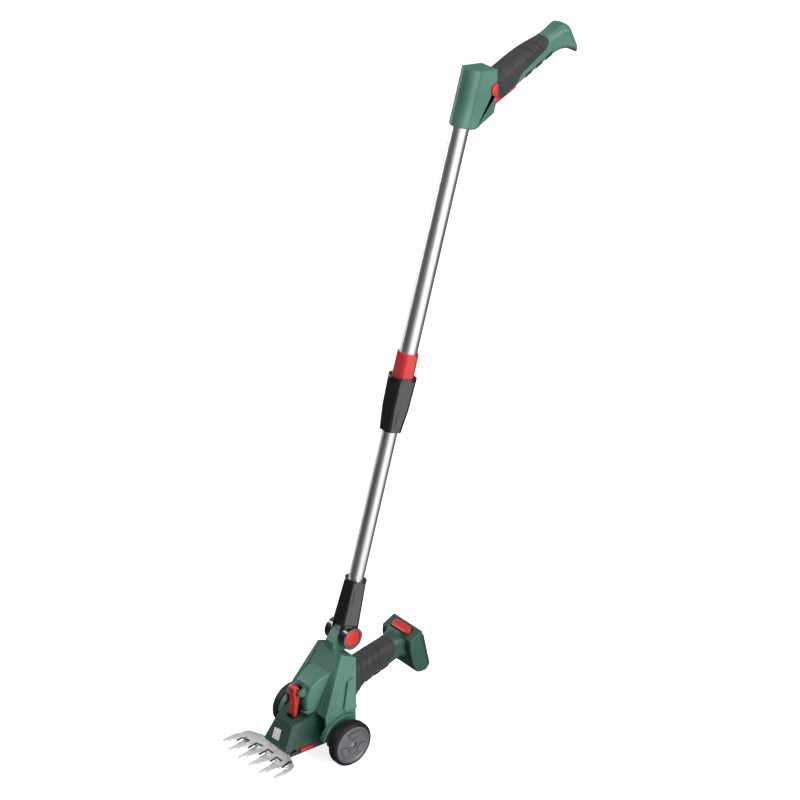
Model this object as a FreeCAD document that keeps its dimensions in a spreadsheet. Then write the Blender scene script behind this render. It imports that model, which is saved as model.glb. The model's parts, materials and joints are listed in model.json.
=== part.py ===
import FreeCAD, Part
import math
import os
import Sketcher

# Cordless grass shears carried on a small two-wheeled cradle, with a telescopic pole and an upper handle.
# Millimetres. +Z is up, the cutting teeth point along -Y, and X runs from wheel to wheel.
# Shapes are drawn with the wheel axle at Y = 0 and are then set back, so that the origin is on the
# ground under the middle of the object.

V = FreeCAD.Vector
os.makedirs("parts", exist_ok=True)
doc = FreeCAD.newDocument("grass_shears")

# ------------------------------------------------------------------ driving dimensions
DIMENSIONS = {
    "axle_behind_front": 147.65,     # from the object's middle forward to the wheel axle
    # wheels and axle
    "axle_height": 32, "wheel_radius": 32, "rim_radius": 27, "wheel_inner_x": 54, "wheel_width": 16,
    "axle_radius": 3, "axle_inner_x": 38, "axle_length": 30, "hub_recess_radius": 5.2,
    # telescopic pole, measured from the tilt pivot along the pole
    "pole_lean": 16.2, "pivot_y": 39.3, "pivot_z": 159.5,
    "lower_radius": 10.5, "lower_bottom": 45, "lower_length": 510, "tube_wall": 1,
    "upper_radius": 12, "upper_bottom": 345, "upper_length": 430,
    "nut_bottom": 293, "nut_waist": 325, "nut_top": 369, "nut_top_radius": 19, "nut_waist_radius": 17.8,
    "nut_bottom_radius": 14.6, "nut_throat_radius": 10.9, "nut_bore_radius": 14.9,
    "collar_radius": 14.4, "collar_top": 402, "collet_radius": 12.9, "collet_length": 43,
    "running_gap": 0.05, "clear_gap": 0.3,
    # knuckle
    "socket_bottom": 16, "socket_top": 80.5, "socket_screw": 62, "socket_bottom_radius": 17.8, "socket_top_radius": 14.4,
    "ear_radius": 16, "ear_inner_x": 8.4, "ear_outer_x": 20.5, "button_radius": 12.4, "button_depth": 5,
    "button_travel": 2.2, "spring_seat": 2.6, "tilt_pin_radius": 3, "tongue_half": 8, "tongue_radius": 16,
    # cradle
    "cradle_top_z": 146, "cradle_top_half": 25.5, "cradle_front_top": 16, "cradle_rear_top": 41,
    "cradle_mid_z": 72, "cradle_mid_half": 44, "cradle_front_mid": -26.5, "cradle_rear_mid": 25,
    "cradle_low_z": 25, "cradle_front_low": -22.5, "cradle_rear_low": 25, "cradle_wall": 2.4,
    "spine_top_half": 20, "spine_low_half": 30, "fender_radius": 34.4, "fender_wall": 2.4, "panel_rise": 2,
    "head_radius": 15.5, "moon_radius": 8.6,
    # blades
    "tooth_pitch": 22.4, "tip_half": 1.7, "root_half": 6.2, "tip_y": -131, "outer_tip_y": -124,
    "valley_y": -97, "blade_thick": 1.7, "fixed_blade_z": 26.2, "moving_blade_z": 28.1,
    "moving_tip_y": -122.5, "moving_tip_half": 1.4, "moving_root_half": 5.2, "moving_valley_y": -98,
    "blade_pivot_y": -50, "blade_pin_radius": 4, "blade_rest_angle": -3.3,
    # gear train
    "gear_y": -30, "gear_teeth": 44, "pinion_teeth": 12, "gear_module": 1, "gear_bottom": 33.5,
    "gear_width": 5, "gear_axle_radius": 3, "motor_radius": 12, "motor_bottom": 42, "motor_height": 29,
    "shaft_radius": 1.2, "shaft_reach": 20,
    # small parts
    "screw_radius": 1.5, "screw_head_radius": 2.9, "screw_length": 14,
    "pad_proud": 0.8, "pad_depth": 1.2,
    "washer_radius": 6.5, "washer_bore": 3.4, "washer_height": 0.55,
}

sheet = doc.addObject("Spreadsheet::Sheet", "dims")
for row, (alias, value) in enumerate(DIMENSIONS.items(), start=1):
    sheet.set(f"A{row}", str(value))
    sheet.setAlias(f"A{row}", alias)
doc.recompute()


def dim(alias):
    """One driving dimension, read back from the sheet."""
    return float(sheet.get(alias))


def value(expression):
    """A sheet expression worked out once, for the first guess of a sketch."""
    return float(sheet.evalExpression(expression))


# ------------------------------------------------------------------ places
def place(x=0.0, y=0.0, z=0.0, axis=V(0, 0, 1), angle=0.0):
    """A placement drawn with the axle at Y = 0."""
    return FreeCAD.Placement(V(x, y, z), FreeCAD.Rotation(axis, angle))


GROUND = place(y=-dim("axle_behind_front"))
PIVOT = place(y=dim("pivot_y"), z=dim("pivot_z"), axis=V(1, 0, 0), angle=-dim("pole_lean"))
POLE = GROUND * PIVOT
AXLE = GROUND * place(z=dim("axle_height"))
SIDEWAYS = place(axis=V(0, 1, 0), angle=90)          # turns a part's own Z into +X
SIDEWAYS_LEFT = place(axis=V(0, 1, 0), angle=-90)    # and into -X

nodes = {}


def keep(name, obj, where=None):
    """Names an object as a finished sub-part and sets it in its place."""
    obj.Label = name
    if where is not None:
        obj.Placement = where
    nodes[name] = obj
    return obj


# ------------------------------------------------------------------ builders
def plane_of(body, role):
    return next(f for f in body.Origin.OriginFeatures if f.Role == role)


def sketch_outline(body, points, role):
    """A closed outline on one of the body's own planes. Each corner is a pair of sheet expressions."""
    sketch = body.newObject("Sketcher::SketchObject", "Outline")
    sketch.AttachmentSupport = [(plane_of(body, role), "")]
    sketch.MapMode = "FlatFace"
    corners = [(value(x), value(y)) for x, y in points]
    count = len(corners)
    for i in range(count):
        start = V(*corners[i], 0)
        end = V(*corners[(i + 1) % count], 0)
        sketch.addGeometry(Part.LineSegment(start, end), False)
    for i in range(count):
        sketch.addConstraint(Sketcher.Constraint("Coincident", i, 2, (i + 1) % count, 1))
    for i, (x, y) in enumerate(points):
        across = sketch.addConstraint(Sketcher.Constraint("DistanceX", -1, 1, i, 1, corners[i][0]))
        sketch.setExpression(f"Constraints[{across}]", x)
        up = sketch.addConstraint(Sketcher.Constraint("DistanceY", -1, 1, i, 1, corners[i][1]))
        sketch.setExpression(f"Constraints[{up}]", y)
    return sketch


def turned(name, profile, where):
    """A round piece: a profile of (radius, height) expressions turned about the piece's own Z."""
    body = doc.addObject("PartDesign::Body", "Turned")
    sketch = sketch_outline(body, profile, "XZ_Plane")
    turn = body.newObject("PartDesign::Revolution", "Turn")
    turn.Profile = sketch
    turn.ReferenceAxis = (sketch, ["V_Axis"])
    turn.Angle = 360
    body.Tip = turn
    return keep(name, body, where)


def padded(name, outline, thickness, where, role="XY_Plane", both_ways=False):
    """A flat piece: an outline given thickness across its own plane."""
    body = doc.addObject("PartDesign::Body", "Padded")
    sketch = sketch_outline(body, outline, role)
    pad = body.newObject("PartDesign::Pad", "Thickness")
    pad.Profile = sketch
    pad.setExpression("Length", thickness)
    pad.Midplane = both_ways
    body.Tip = pad
    return keep(name, body, where)


def cylinder(radius, length, where):
    """A round bar on its own Z; radius and length are sheet expressions."""
    rod = doc.addObject("Part::Cylinder", "Rod")
    rod.setExpression("Radius", radius)
    rod.setExpression("Height", length)
    rod.Placement = where
    return rod


def cut(base, *tools):
    """A Part::Cut of one object by one or several others."""
    result = doc.addObject("Part::Cut", "Cut")
    result.Base = base
    result.Tool = tools[0] if len(tools) == 1 else fuse(*tools)
    return result


def fuse(*pieces):
    result = doc.addObject("Part::MultiFuse", "Joined")
    result.Shapes = list(pieces)
    return result


def grouped(name, pieces, where):
    """Several separate, alike solids in one node."""
    group = doc.addObject("Part::Compound", "Group")
    group.Links = pieces
    return keep(name, group, where)


def feature(name, shape, where):
    """A moulding whose curved shape is worked out with Part's own functions."""
    obj = doc.addObject("Part::Feature", "Moulding")
    if shape.ShapeType == "Compound" and len(shape.Solids) == 1:
        shape = shape.Solids[0]
    obj.Shape = shape
    return keep(name, obj, where)


# ------------------------------------------------------------------ shape helpers for mouldings
def box(x0, x1, y0, y1, z0, z1):
    return Part.makeBox(x1 - x0, y1 - y0, z1 - z0, V(x0, y0, z0))


def side_prism(points, half_width, x_middle=0.0):
    """A side-view outline of (y, z) points given width across X."""
    corners = [V(x_middle - half_width, y, z) for y, z in points]
    face = Part.Face(Part.makePolygon(corners + corners[:1]))
    return face.extrude(V(2 * half_width, 0, 0))


def bar_x(radius, x0, x1, y, z):
    return Part.makeCylinder(radius, x1 - x0, V(x0, y, z), V(1, 0, 0))


def bar_z(radius, x, y, z0, z1):
    return Part.makeCylinder(radius, z1 - z0, V(x, y, z0), V(0, 0, 1))


def grip_wire(station, shrink=0.0):
    """A rounded-rectangle section of a hand grip, square to the grip's own line.

    station = (y, z, slope in degrees, half width, half height); shrink moves the section inwards.
    """
    y, z, slope, half_width, half_height = station
    half_width -= shrink
    half_height -= shrink
    corner = 0.62 * min(half_width, half_height)
    up = V(0, -math.sin(math.radians(slope)), math.cos(math.radians(slope)))
    across = V(1, 0, 0)
    middle = V(0, y, z)

    def at(a, b):
        return middle + across * a + up * b

    edges = []
    flat_a = half_width - corner
    flat_b = half_height - corner
    diagonal = corner * math.sqrt(0.5)
    for a_sign, b_sign, first_is_side in ((1, 1, True), (-1, 1, False), (-1, -1, True), (1, -1, False)):
        centre = (a_sign * flat_a, b_sign * flat_b)
        on_side = at(a_sign * half_width, centre[1])
        on_top = at(centre[0], b_sign * half_height)
        on_arc = at(centre[0] + a_sign * diagonal, centre[1] + b_sign * diagonal)
        start, end = (on_side, on_top) if first_is_side else (on_top, on_side)
        edges.append((start, on_arc, end))
    wire = []
    for i, (start, on_arc, end) in enumerate(edges):
        following = edges[(i + 1) % 4][0]
        wire.append(Part.Arc(start, on_arc, end).toShape())
        wire.append(Part.LineSegment(end, following).toShape())
    return Part.Wire(wire)


def grip_loft(stations, shrink=0.0):
    return Part.makeLoft([grip_wire(s, shrink) for s in stations], True)


def grip_pads(stations, spots):
    """Soft pads let into the underside of a grip and standing a little proud; spot = (y, z, slope)."""
    skin = grip_loft(stations, -dim("pad_proud")).cut(grip_loft(stations, dim("pad_depth")))
    pads = []
    for y, z, slope in spots:
        block = box(-30, 30, -5.2, 5.2, -4, 7)
        block.Placement = place(y=y, z=z, axis=V(1, 0, 0), angle=slope)
        pads.append(max(skin.common(block).Solids, key=lambda solid: solid.Volume))
    return pads


def frustum(sections):
    """A tapering box: a ruled loft through (z, half width, front y, rear y) rectangles."""
    wires = []
    for z, half_width, front, rear in sections:
        corners = [V(-half_width, front, z), V(half_width, front, z), V(half_width, rear, z),
                   V(-half_width, rear, z)]
        wires.append(Part.makePolygon(corners + corners[:1]))
    return Part.makeLoft(wires, True, True)


def hollowed(shape, tools):
    """A solid cut by one tool after another, which is steadier than all of them at once."""
    for tool in tools:
        shape = shape.cut(tool)
    return shape


def split_shell(names, body, tools, bosses, where, reach=1000.0):
    """The two halves of a hollow moulding that meets on X = 0, each with its screw bosses."""
    for name, side in zip(names, (-1, 1)):
        half_space = box(min(0, side * reach), max(0, side * reach), -reach, reach, -reach, reach)
        half = hollowed(body.common(half_space), tools)
        for boss in bosses:
            half = half.fuse(boss.common(half_space))
        feature(name, max(half.Solids, key=lambda solid: solid.Volume), where)


def screws_at(name, spots, where, direction=SIDEWAYS_LEFT):
    """Pan-head screws; each spot is the underside of the head, with the shank running along -direction."""
    pieces = []
    for x, y, z in spots:
        spot = place(x, y, z) * direction
        head = cylinder("dims.screw_head_radius", "dims.screw_radius", spot)
        shank = cylinder("dims.screw_radius", "dims.screw_length", spot * place(z=-dim("screw_length")))
        pieces.append(fuse(head, shank))
    return grouped(name, pieces, where)


def screw_holes(spots, head_depth, direction=SIDEWAYS_LEFT):
    """Counterbored clearance for the same screws."""
    holes = []
    for x, y, z in spots:
        spot = place(x, y, z) * direction
        head = Part.makeCylinder(dim("screw_head_radius") + 0.2, head_depth)
        shank = Part.makeCylinder(dim("screw_radius"), dim("screw_length") + 0.2)
        shank.translate(V(0, 0, -dim("screw_length") - 0.2))
        hole = head.fuse(shank)
        hole.Placement = spot
        holes.append(hole)
    return holes


def screw_bosses(spots, body, skin):
    """A tube of plastic round each screw's shank, inside the moulding and under its rubber skin."""
    bosses = []
    for x, y, z in spots:
        boss = bar_x(3.6, x, 11, y, z).cut(bar_x(dim("screw_radius"), -30, 30, y, z))
        bosses.append(boss.common(body).cut(skin))
    return bosses


# ------------------------------------------------------------------ pole
def build_pole():
    upper = cut(cylinder("dims.upper_radius", "dims.upper_length", place()),
                cylinder("dims.upper_radius - dims.tube_wall", "dims.upper_length", place()))
    keep("upper_tube", upper, POLE * place(z=dim("upper_bottom")))
    screw_hole = cylinder("dims.screw_radius + dims.running_gap", "dims.lower_radius",
                          place(z=dim("socket_screw") - dim("lower_bottom"), axis=V(1, 0, 0), angle=-90))
    lower = cut(cylinder("dims.lower_radius", "dims.lower_length", place()),
                cylinder("dims.lower_radius - dims.tube_wall", "dims.lower_length", place()), screw_hole)
    keep("lower_tube", lower, POLE * place(z=dim("lower_bottom")))

    bore = "dims.lower_radius - dims.tube_wall"
    slide = "dims.upper_radius - dims.tube_wall - dims.running_gap"
    turned("tube_guide_bush",
           [("4", "-18"), (bore, "-18"), (bore, "0"), (slide, "0"), (slide, "12"), ("4", "12")],
           POLE * place(z=dim("lower_bottom") + dim("lower_length")))

    shoulder = "dims.collar_top - dims.upper_bottom"
    turned("clamp_collar",
           [("dims.upper_radius", "0"), ("dims.collar_radius", "0"),
            ("dims.collar_radius", f"{shoulder} - 1.2"), ("dims.collar_radius - 1", shoulder),
            ("dims.upper_radius", shoulder)],
           POLE * place(z=dim("upper_bottom")))

    inner = "dims.lower_radius + dims.running_gap"
    collet = turned("clamp_collet_blank",
                    [(inner, "0"), ("dims.collet_radius - 1", "0"), ("dims.collet_radius", "6"),
                     ("dims.collet_radius", "dims.collet_length"), (inner, "dims.collet_length")], place())
    del nodes["clamp_collet_blank"]
    slots = []
    for turn in range(2):
        slot = doc.addObject("Part::Box", "CollarSlot")
        slot.Length = 2
        slot.setExpression("Width", "dims.collet_radius * 2 + 4")
        slot.setExpression("Height", "dims.collet_length - 12")
        corner = place(x=-1, y=-dim("collet_radius") - 2)
        slot.Placement = place(axis=V(0, 0, 1), angle=90 * turn) * corner
        slots.append(slot)
    keep("clamp_collet", cut(collet, *slots), POLE * place(z=dim("upper_bottom") - dim("collet_length")))

    throat = "dims.nut_throat_radius"
    hollow = "dims.collet_radius + dims.clear_gap"
    length = "dims.nut_top - dims.nut_bottom"
    turned("clamp_nut",
           [(throat, "0"), ("dims.nut_bottom_radius", "0"),
            ("dims.nut_waist_radius", "dims.nut_waist - dims.nut_bottom"), ("dims.nut_top_radius", length),
            ("dims.nut_bore_radius", length),
            ("dims.nut_bore_radius", "dims.upper_bottom - dims.nut_bottom - 1"),
            (hollow, "dims.upper_bottom - dims.nut_bottom - 1"),
            (hollow, "dims.upper_bottom - dims.nut_bottom - dims.collet_length - 1"),
            (throat, "dims.upper_bottom - dims.nut_bottom - dims.collet_length - 1")],
           POLE * place(z=dim("nut_bottom")))


# ------------------------------------------------------------------ knuckle
def build_knuckle():
    """The black socket on the lower tube: two ears straddle the cradle's tongue."""
    bottom = dim("socket_bottom")
    top = dim("socket_top")
    root = Part.makeCylinder(dim("socket_bottom_radius"), bottom - 3, V(0, 0, 3))
    body = Part.makeCone(dim("socket_bottom_radius"), dim("socket_top_radius"), top - bottom, V(0, 0, bottom))
    lip = Part.makeCylinder(dim("socket_top_radius") + 0.5, 2.2, V(0, 0, top - 2.2))
    outer = dim("ear_outer_x")
    ears = bar_x(dim("ear_radius"), -outer, outer, 0, 0)
    shape = body.fuse([root, lip, ears])
    inner = dim("ear_inner_x")
    slot = box(-inner, inner, -30, 30, -30, dim("tongue_radius") + 1.2)
    bore = Part.makeCylinder(dim("lower_radius"), top, V(0, 0, dim("lower_bottom")))
    pin = bar_x(dim("tilt_pin_radius"), -outer, outer, 0, 0)
    pocket = dim("button_radius") + 0.3
    depth = dim("button_depth") + dim("button_travel") + dim("spring_seat")
    pockets = [bar_x(pocket, outer - depth, outer + 1, 0, 0), bar_x(pocket, -outer - 1, -outer + depth, 0, 0)]
    spots = [(0, dim("socket_bottom_radius") - 1.2, dim("socket_screw"))]
    backward = place(axis=V(1, 0, 0), angle=-90)
    holes = screw_holes(spots, 6, backward)
    shape = shape.cut([slot, bore, pin] + pockets + holes)
    feature("knuckle", shape, POLE)
    screws_at("tube_screws", spots, POLE, backward)

    cap = [("0", "0"), ("dims.button_radius", "0"), ("dims.button_radius", "dims.button_depth - 1"),
           ("dims.button_radius - 1", "dims.button_depth"), ("0", "dims.button_depth")]
    seat = outer - dim("button_depth")
    turned("tilt_button_right", cap, POLE * place(x=seat) * SIDEWAYS)
    turned("tilt_button_left", cap, POLE * place(x=-seat) * SIDEWAYS_LEFT)
    pin_half = "(dims.ear_outer_x - dims.button_depth - dims.button_travel - dims.spring_seat)"
    keep("tilt_pin", cylinder("dims.tilt_pin_radius", f"2 * {pin_half}", place()),
         POLE * place(x=-value(pin_half)) * SIDEWAYS)
    washers = []
    for turn in (SIDEWAYS, SIDEWAYS_LEFT):
        cone = Part.makeCone(dim("washer_radius"), dim("washer_radius") - 1.5, dim("washer_height"))
        washer = cone.cut(Part.makeCylinder(dim("washer_bore"), dim("washer_height")))
        washer.Placement = turn * place(z=outer - depth)
        washers.append(washer)
    feature("tilt_button_springs", Part.makeCompound(washers), POLE)


# ------------------------------------------------------------------ cradle
def cradle_block(inset=0.0, drop=0.0):
    """The cradle's outer wedge, or its inside when inset by the wall."""
    lowered = dim("cradle_top_z") - inset
    front_slope = (dim("cradle_front_top") - dim("cradle_front_mid")) / (dim("cradle_top_z") - dim("cradle_mid_z"))
    return frustum([
        (dim("cradle_low_z") - drop, dim("cradle_mid_half") - inset, dim("cradle_front_low") + inset,
         dim("cradle_rear_low") - inset),
        (dim("cradle_mid_z"), dim("cradle_mid_half") - inset, dim("cradle_front_mid") + inset,
         dim("cradle_rear_mid") - inset),
        (lowered, dim("cradle_top_half") - inset, dim("cradle_front_top") + inset * (1 - front_slope),
         dim("cradle_rear_top") - inset),
    ])


def spine_block():
    """Everything between the two panel lines that run down the cradle's front."""
    rise = dim("cradle_top_z") - dim("cradle_mid_z")
    spread = (dim("spine_low_half") - dim("spine_top_half")) / rise
    reach = 40.0
    return frustum([
        (dim("cradle_mid_z") - reach, dim("spine_low_half") + spread * reach, -80, 60),
        (dim("cradle_top_z") + reach, dim("spine_top_half") - spread * reach, -80, 60),
    ])


LATCH_PIN = (-42.5, 100.0)
BUMP_OUTLINE = [(-25.0, 70.0), (-37.5, 71.5), (-37.0, 93.0), (-29.0, 109.0), (-13.0, 118.5), (2.0, 119.5)]


def build_cradle():
    wall = dim("cradle_wall")
    top_slope = [(10, 149), (16, dim("cradle_top_z")), (60, 124), (60, 160), (10, 160)]
    room_slope = [(y, z - wall) for y, z in top_slope[:3]] + top_slope[3:]
    outer_block = cradle_block().cut(side_prism(top_slope, 40))
    shell = outer_block.cut(cradle_block(inset=wall, drop=20).cut(side_prism(room_slope, 40)))
    hood_opening = box(-60, 60, -40, 0, 0, dim("cradle_mid_z") - 2)
    keep_sides = [box(40, 60, -40, 0, 0, 80), box(-60, -40, -40, 0, 0, 80)]
    hood_opening = hood_opening.cut(keep_sides)
    tool_opening = box(-25, 25, 12, 60, 0, 124)
    hood_room = hood_block(inset=-dim("clear_gap"), drop=10)
    shell = shell.cut([hood_opening, tool_opening, hood_room])

    pivot_y = dim("pivot_y")
    pivot_z = dim("pivot_z")
    tongue = side_prism([(15, 140), (15, 156), (28, 171), (pivot_y, pivot_z + 6), (50, 149), (44, 138),
                         (35, 138)], dim("tongue_half"))
    tongue = tongue.fuse(bar_x(dim("tongue_radius"), -dim("tongue_half"), dim("tongue_half"), pivot_y, pivot_z))
    bump = side_prism(BUMP_OUTLINE, 20)
    bump_room = side_prism([(y + 2.2, z - 2.2) for y, z in BUMP_OUTLINE[1:-1]] + [(10, 115), (10, 68)], 17.8)
    latch_room = box(-8.4, 8.4, -60, -33.0, 68, 117)
    ears = side_prism([(-46, 97), (-46, 103), (-33, 108), (-33, 94)], 11.5)
    ear_gap = box(-7, 7, -60, -33.0, 80, 120)
    spine = spine_block()
    centre = shell.common(spine).cut(bump_room)
    frame = centre.fuse([bump.cut([bump_room, latch_room, hood_room]), ears.cut(ear_gap), tongue])
    latch_y, latch_z = LATCH_PIN
    frame = frame.cut([bar_x(dim("tilt_pin_radius") + dim("running_gap"), -12, 12, pivot_y, pivot_z),
                       bar_x(2, -12, 12, latch_y, latch_z)])
    clearance = [Part.makeCylinder(dim("ear_radius") + 0.5, 14, V(side, pivot_y, pivot_z), V(1, 0, 0))
                 for side in (dim("tongue_half") + 0.2, -dim("tongue_half") - 14.2)]
    frame = frame.cut(clearance)
    frame = max(frame.Solids, key=lambda solid: solid.Volume)
    feature("cradle_frame", frame, GROUND)

    axle_z = dim("axle_height")
    for side, name in ((1, "cradle_side_right"), (-1, "cradle_side_left")):
        half = box(0, 90, -90, 90, 0, 200)
        boss = bar_x(8, 38.5, 53.4, 0, axle_z)
        fender = bar_x(dim("fender_radius") + dim("fender_wall"), 42, 50.4, 0, axle_z)
        fender = fender.cut(bar_x(dim("fender_radius"), 41, 51, 0, axle_z))
        fender = fender.common(side_prism([(0, axle_z), (-70, axle_z + 18), (-70, 120), (20, 120),
                                           (20, axle_z + 17)], 60))
        panel = side_prism([(4, 74), (18, 108), (24, 111), (30, 111), (24.5, 78), (26, 70), (8, 70)], 6, 42)
        panel = panel.cut(cradle_block(inset=0.01)).common(frustum([
            (60, dim("cradle_mid_half") + 3 + dim("panel_rise"), -80, 80),
            (144, dim("cradle_top_half") + dim("panel_rise"), -80, 80)]))
        wall_part = shell.common(half).cut(spine_block())
        pieces = [boss.cut(bar_x(dim("axle_radius"), 30, 60, 0, axle_z)), fender, panel]
        part = wall_part.fuse(pieces)
        part = part.cut([bar_x(dim("axle_radius"), dim("axle_inner_x"), 60, 0, axle_z)])
        part = part.cut(clearance)
        part = max(part.Solids, key=lambda solid: solid.Volume)
        if side < 0:
            part = part.mirror(V(0, 0, 0), V(1, 0, 0))
        feature(name, part, GROUND)

    lever = side_prism([(-50, 64), (-46.5, 62), (-44.5, 66), (-41.5, 84), (-39.2, 96), (-39.2, 104), (-42, 110),
                        (-47, 112.5), (-50.5, 109), (-49.5, 96), (-48.5, 84), (-50.5, 72)], 6)
    lever = lever.cut(bar_x(2 + dim("running_gap"), -10, 10, latch_y, latch_z))
    feature("latch_lever", lever, GROUND)
    keep("latch_pin", cylinder("2", "23", place()), GROUND * place(-11.5, latch_y, latch_z) * SIDEWAYS)


def build_wheels():
    inner_x = dim("wheel_inner_x")
    width = "dims.wheel_width"
    tyre = [("dims.rim_radius", "0.8"), ("dims.wheel_radius - 2.5", "0"), ("dims.wheel_radius", "2.5"),
            ("dims.wheel_radius", f"{width} - 3.5"), ("dims.wheel_radius - 2.5", f"{width} - 0.8"),
            ("dims.rim_radius", f"{width} - 0.8")]
    bore = "dims.axle_radius + dims.running_gap"
    disc = [(bore, "0.3"), ("9", "0.3"), ("10", "4"), ("21", "4"), ("22", "1"), ("dims.rim_radius", "1"),
            ("dims.rim_radius", f"{width} - 0.8"), ("24.5", width), ("22", f"{width} - 1.6"),
            ("9.5", f"{width} - 0.6"), ("dims.hub_recess_radius", f"{width} - 0.6"),
            ("dims.hub_recess_radius", f"{width} - 4"), (bore, f"{width} - 4")]
    for side, turn, word in ((1, SIDEWAYS, "right"), (-1, SIDEWAYS_LEFT, "left")):
        where = AXLE * place(x=side * inner_x) * turn
        turned(f"wheel_tyre_{word}", tyre, where)
        turned(f"wheel_disc_{word}", disc, where)
    pins = []
    clips = []
    for side, turn in ((1, SIDEWAYS), (-1, SIDEWAYS_LEFT)):
        pins.append(cylinder("dims.axle_radius", "dims.axle_length",
                             place(x=side * dim("axle_inner_x")) * turn))
        clip_x = side * (inner_x + dim("wheel_width") - 3.7)
        ring = cut(cylinder("dims.axle_radius + 1.8", "0.8", place(x=clip_x) * turn),
                   cylinder("dims.axle_radius", "0.8", place(x=clip_x) * turn))
        clips.append(ring)
    grouped("wheel_axles", pins, AXLE)
    grouped("axle_clips", clips, AXLE)


# ------------------------------------------------------------------ blades and gear head
def fixed_blade_outline():
    """Half of the toothed plate on +X, then its mirror: three long teeth on each side."""
    half = []
    for tooth, tip_y in ((0.5, "dims.tip_y"), (1.5, "dims.tip_y")):
        x = f"dims.tooth_pitch * {tooth}"
        half += [(f"{x} - dims.root_half", "dims.valley_y"), (f"{x} - dims.tip_half", f"{tip_y} + 1.5"),
                 (f"{x} - dims.tip_half * 0.4", tip_y), (f"{x} + dims.tip_half * 0.4", tip_y),
                 (f"{x} + dims.tip_half", f"{tip_y} + 1.5"), (f"{x} + dims.root_half", "dims.valley_y")]
    x = "dims.tooth_pitch * 2.5"
    half += [(f"{x} - dims.root_half", "dims.valley_y"), (f"{x} - dims.tip_half", "dims.outer_tip_y + 1.5"),
             (x, "dims.outer_tip_y"), (f"{x} + dims.tip_half", "dims.outer_tip_y + 2"),
             (f"{x} + 2.6", "-107"), (f"{x} + 0.8", "-97"), (f"{x} - 3.8", "-87"), ("34", "-78.5"),
             ("24", "-74"), ("21.5", "-66"), ("21.5", "-40")]
    left = [(f"-({px})", py) for px, py in reversed(half)]
    return half + left


def moving_blade_outline():
    """Five shorter teeth that sweep over the gaps of the fixed blade, and a tail with the drive slot."""
    half = [("dims.moving_tip_half", "dims.moving_tip_y + 1"), ("dims.moving_root_half", "dims.moving_valley_y")]
    for tooth in (1, 2):
        x = f"dims.tooth_pitch * {tooth}"
        half += [(f"{x} - dims.moving_root_half", "dims.moving_valley_y"),
                 (f"{x} - dims.moving_tip_half", "dims.moving_tip_y + 1"), (x, "dims.moving_tip_y"),
                 (f"{x} + dims.moving_tip_half", "dims.moving_tip_y + 1"),
                 (f"{x} + dims.moving_root_half", "dims.moving_valley_y")]
    half += [("51.5", "-93"), ("47", "-86"), ("32", "-79"), ("21", "-75"), ("17", "-66"), ("12", "-40"),
             ("9", "-20")]
    left = [(f"-({px})", py) for px, py in reversed(half)]
    return [("0", "dims.moving_tip_y")] + half + left


def build_blades():
    fixed = padded("fixed_blade_blank", fixed_blade_outline(), "dims.blade_thick", place())
    del nodes["fixed_blade_blank"]
    pin_hole = cylinder("dims.blade_pin_radius", "dims.blade_thick * 3", place(y=dim("blade_pivot_y"), z=-1))
    keep("fixed_blade", cut(fixed, pin_hole), GROUND * place(z=dim("fixed_blade_z")))

    moving = padded("moving_blade_blank", moving_blade_outline(), "dims.blade_thick", place())
    del nodes["moving_blade_blank"]
    hole = cylinder("dims.blade_pin_radius + dims.running_gap", "dims.blade_thick * 3",
                    place(y=dim("blade_pivot_y"), z=-1))
    drive_slot = doc.addObject("Part::Box", "DriveSlot")
    drive_slot.Length = 6
    drive_slot.Width = 9
    drive_slot.Height = 6
    drive_slot.Placement = place(-3, dim("gear_y") - 4.5, -1)
    swing = place(y=dim("blade_pivot_y"), angle=dim("blade_rest_angle")) * place(y=-dim("blade_pivot_y"))
    keep("moving_blade", cut(moving, hole, drive_slot), GROUND * place(z=dim("moving_blade_z")) * swing)

    turned("blade_pivot_pin",
           [("0", "-2"), ("dims.blade_pin_radius", "-2"), ("dims.blade_pin_radius", "4"),
            ("dims.blade_pin_radius + 2", "4"), ("dims.blade_pin_radius + 2", "5.6"), ("0", "5.6")],
           GROUND * place(y=dim("blade_pivot_y"), z=dim("fixed_blade_z")))


def gear_shape(teeth, module, width, bore, backlash=0.24):
    """A spur gear with straight-flanked teeth, thinned for running clearance."""
    pitch_radius = teeth * module / 2
    tip_radius = pitch_radius + 0.85 * module
    root_radius = pitch_radius - 1.2 * module
    pitch_angle = 2 * math.pi / teeth
    points = []
    for i in range(teeth):
        middle = i * pitch_angle
        half_pitch = pitch_angle / 4 - backlash / (2 * pitch_radius)
        for angle, radius in ((-1.35 * half_pitch, root_radius), (-0.55 * half_pitch, tip_radius),
                              (0.55 * half_pitch, tip_radius), (1.35 * half_pitch, root_radius)):
            points.append(V(radius * math.cos(middle + angle), radius * math.sin(middle + angle), 0))
    face = Part.Face(Part.makePolygon(points + points[:1]))
    gear = face.extrude(V(0, 0, width))
    return gear.cut(Part.makeCylinder(bore, width + 2, V(0, 0, -1)))


HOOD_SECTIONS = [  # front to rear: (y at the bottom edge, y at the top edge, half width low, half width high, top z)
    (-79.0, -62.5, 26.0, 21.0, 61.5),
    (-45.0, -42.0, 28.3, 22.4, 68.0),
    (-15.0, -15.0, 30.0, 24.5, 76.0),
]
HOOD_BOTTOM = 30.9


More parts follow.
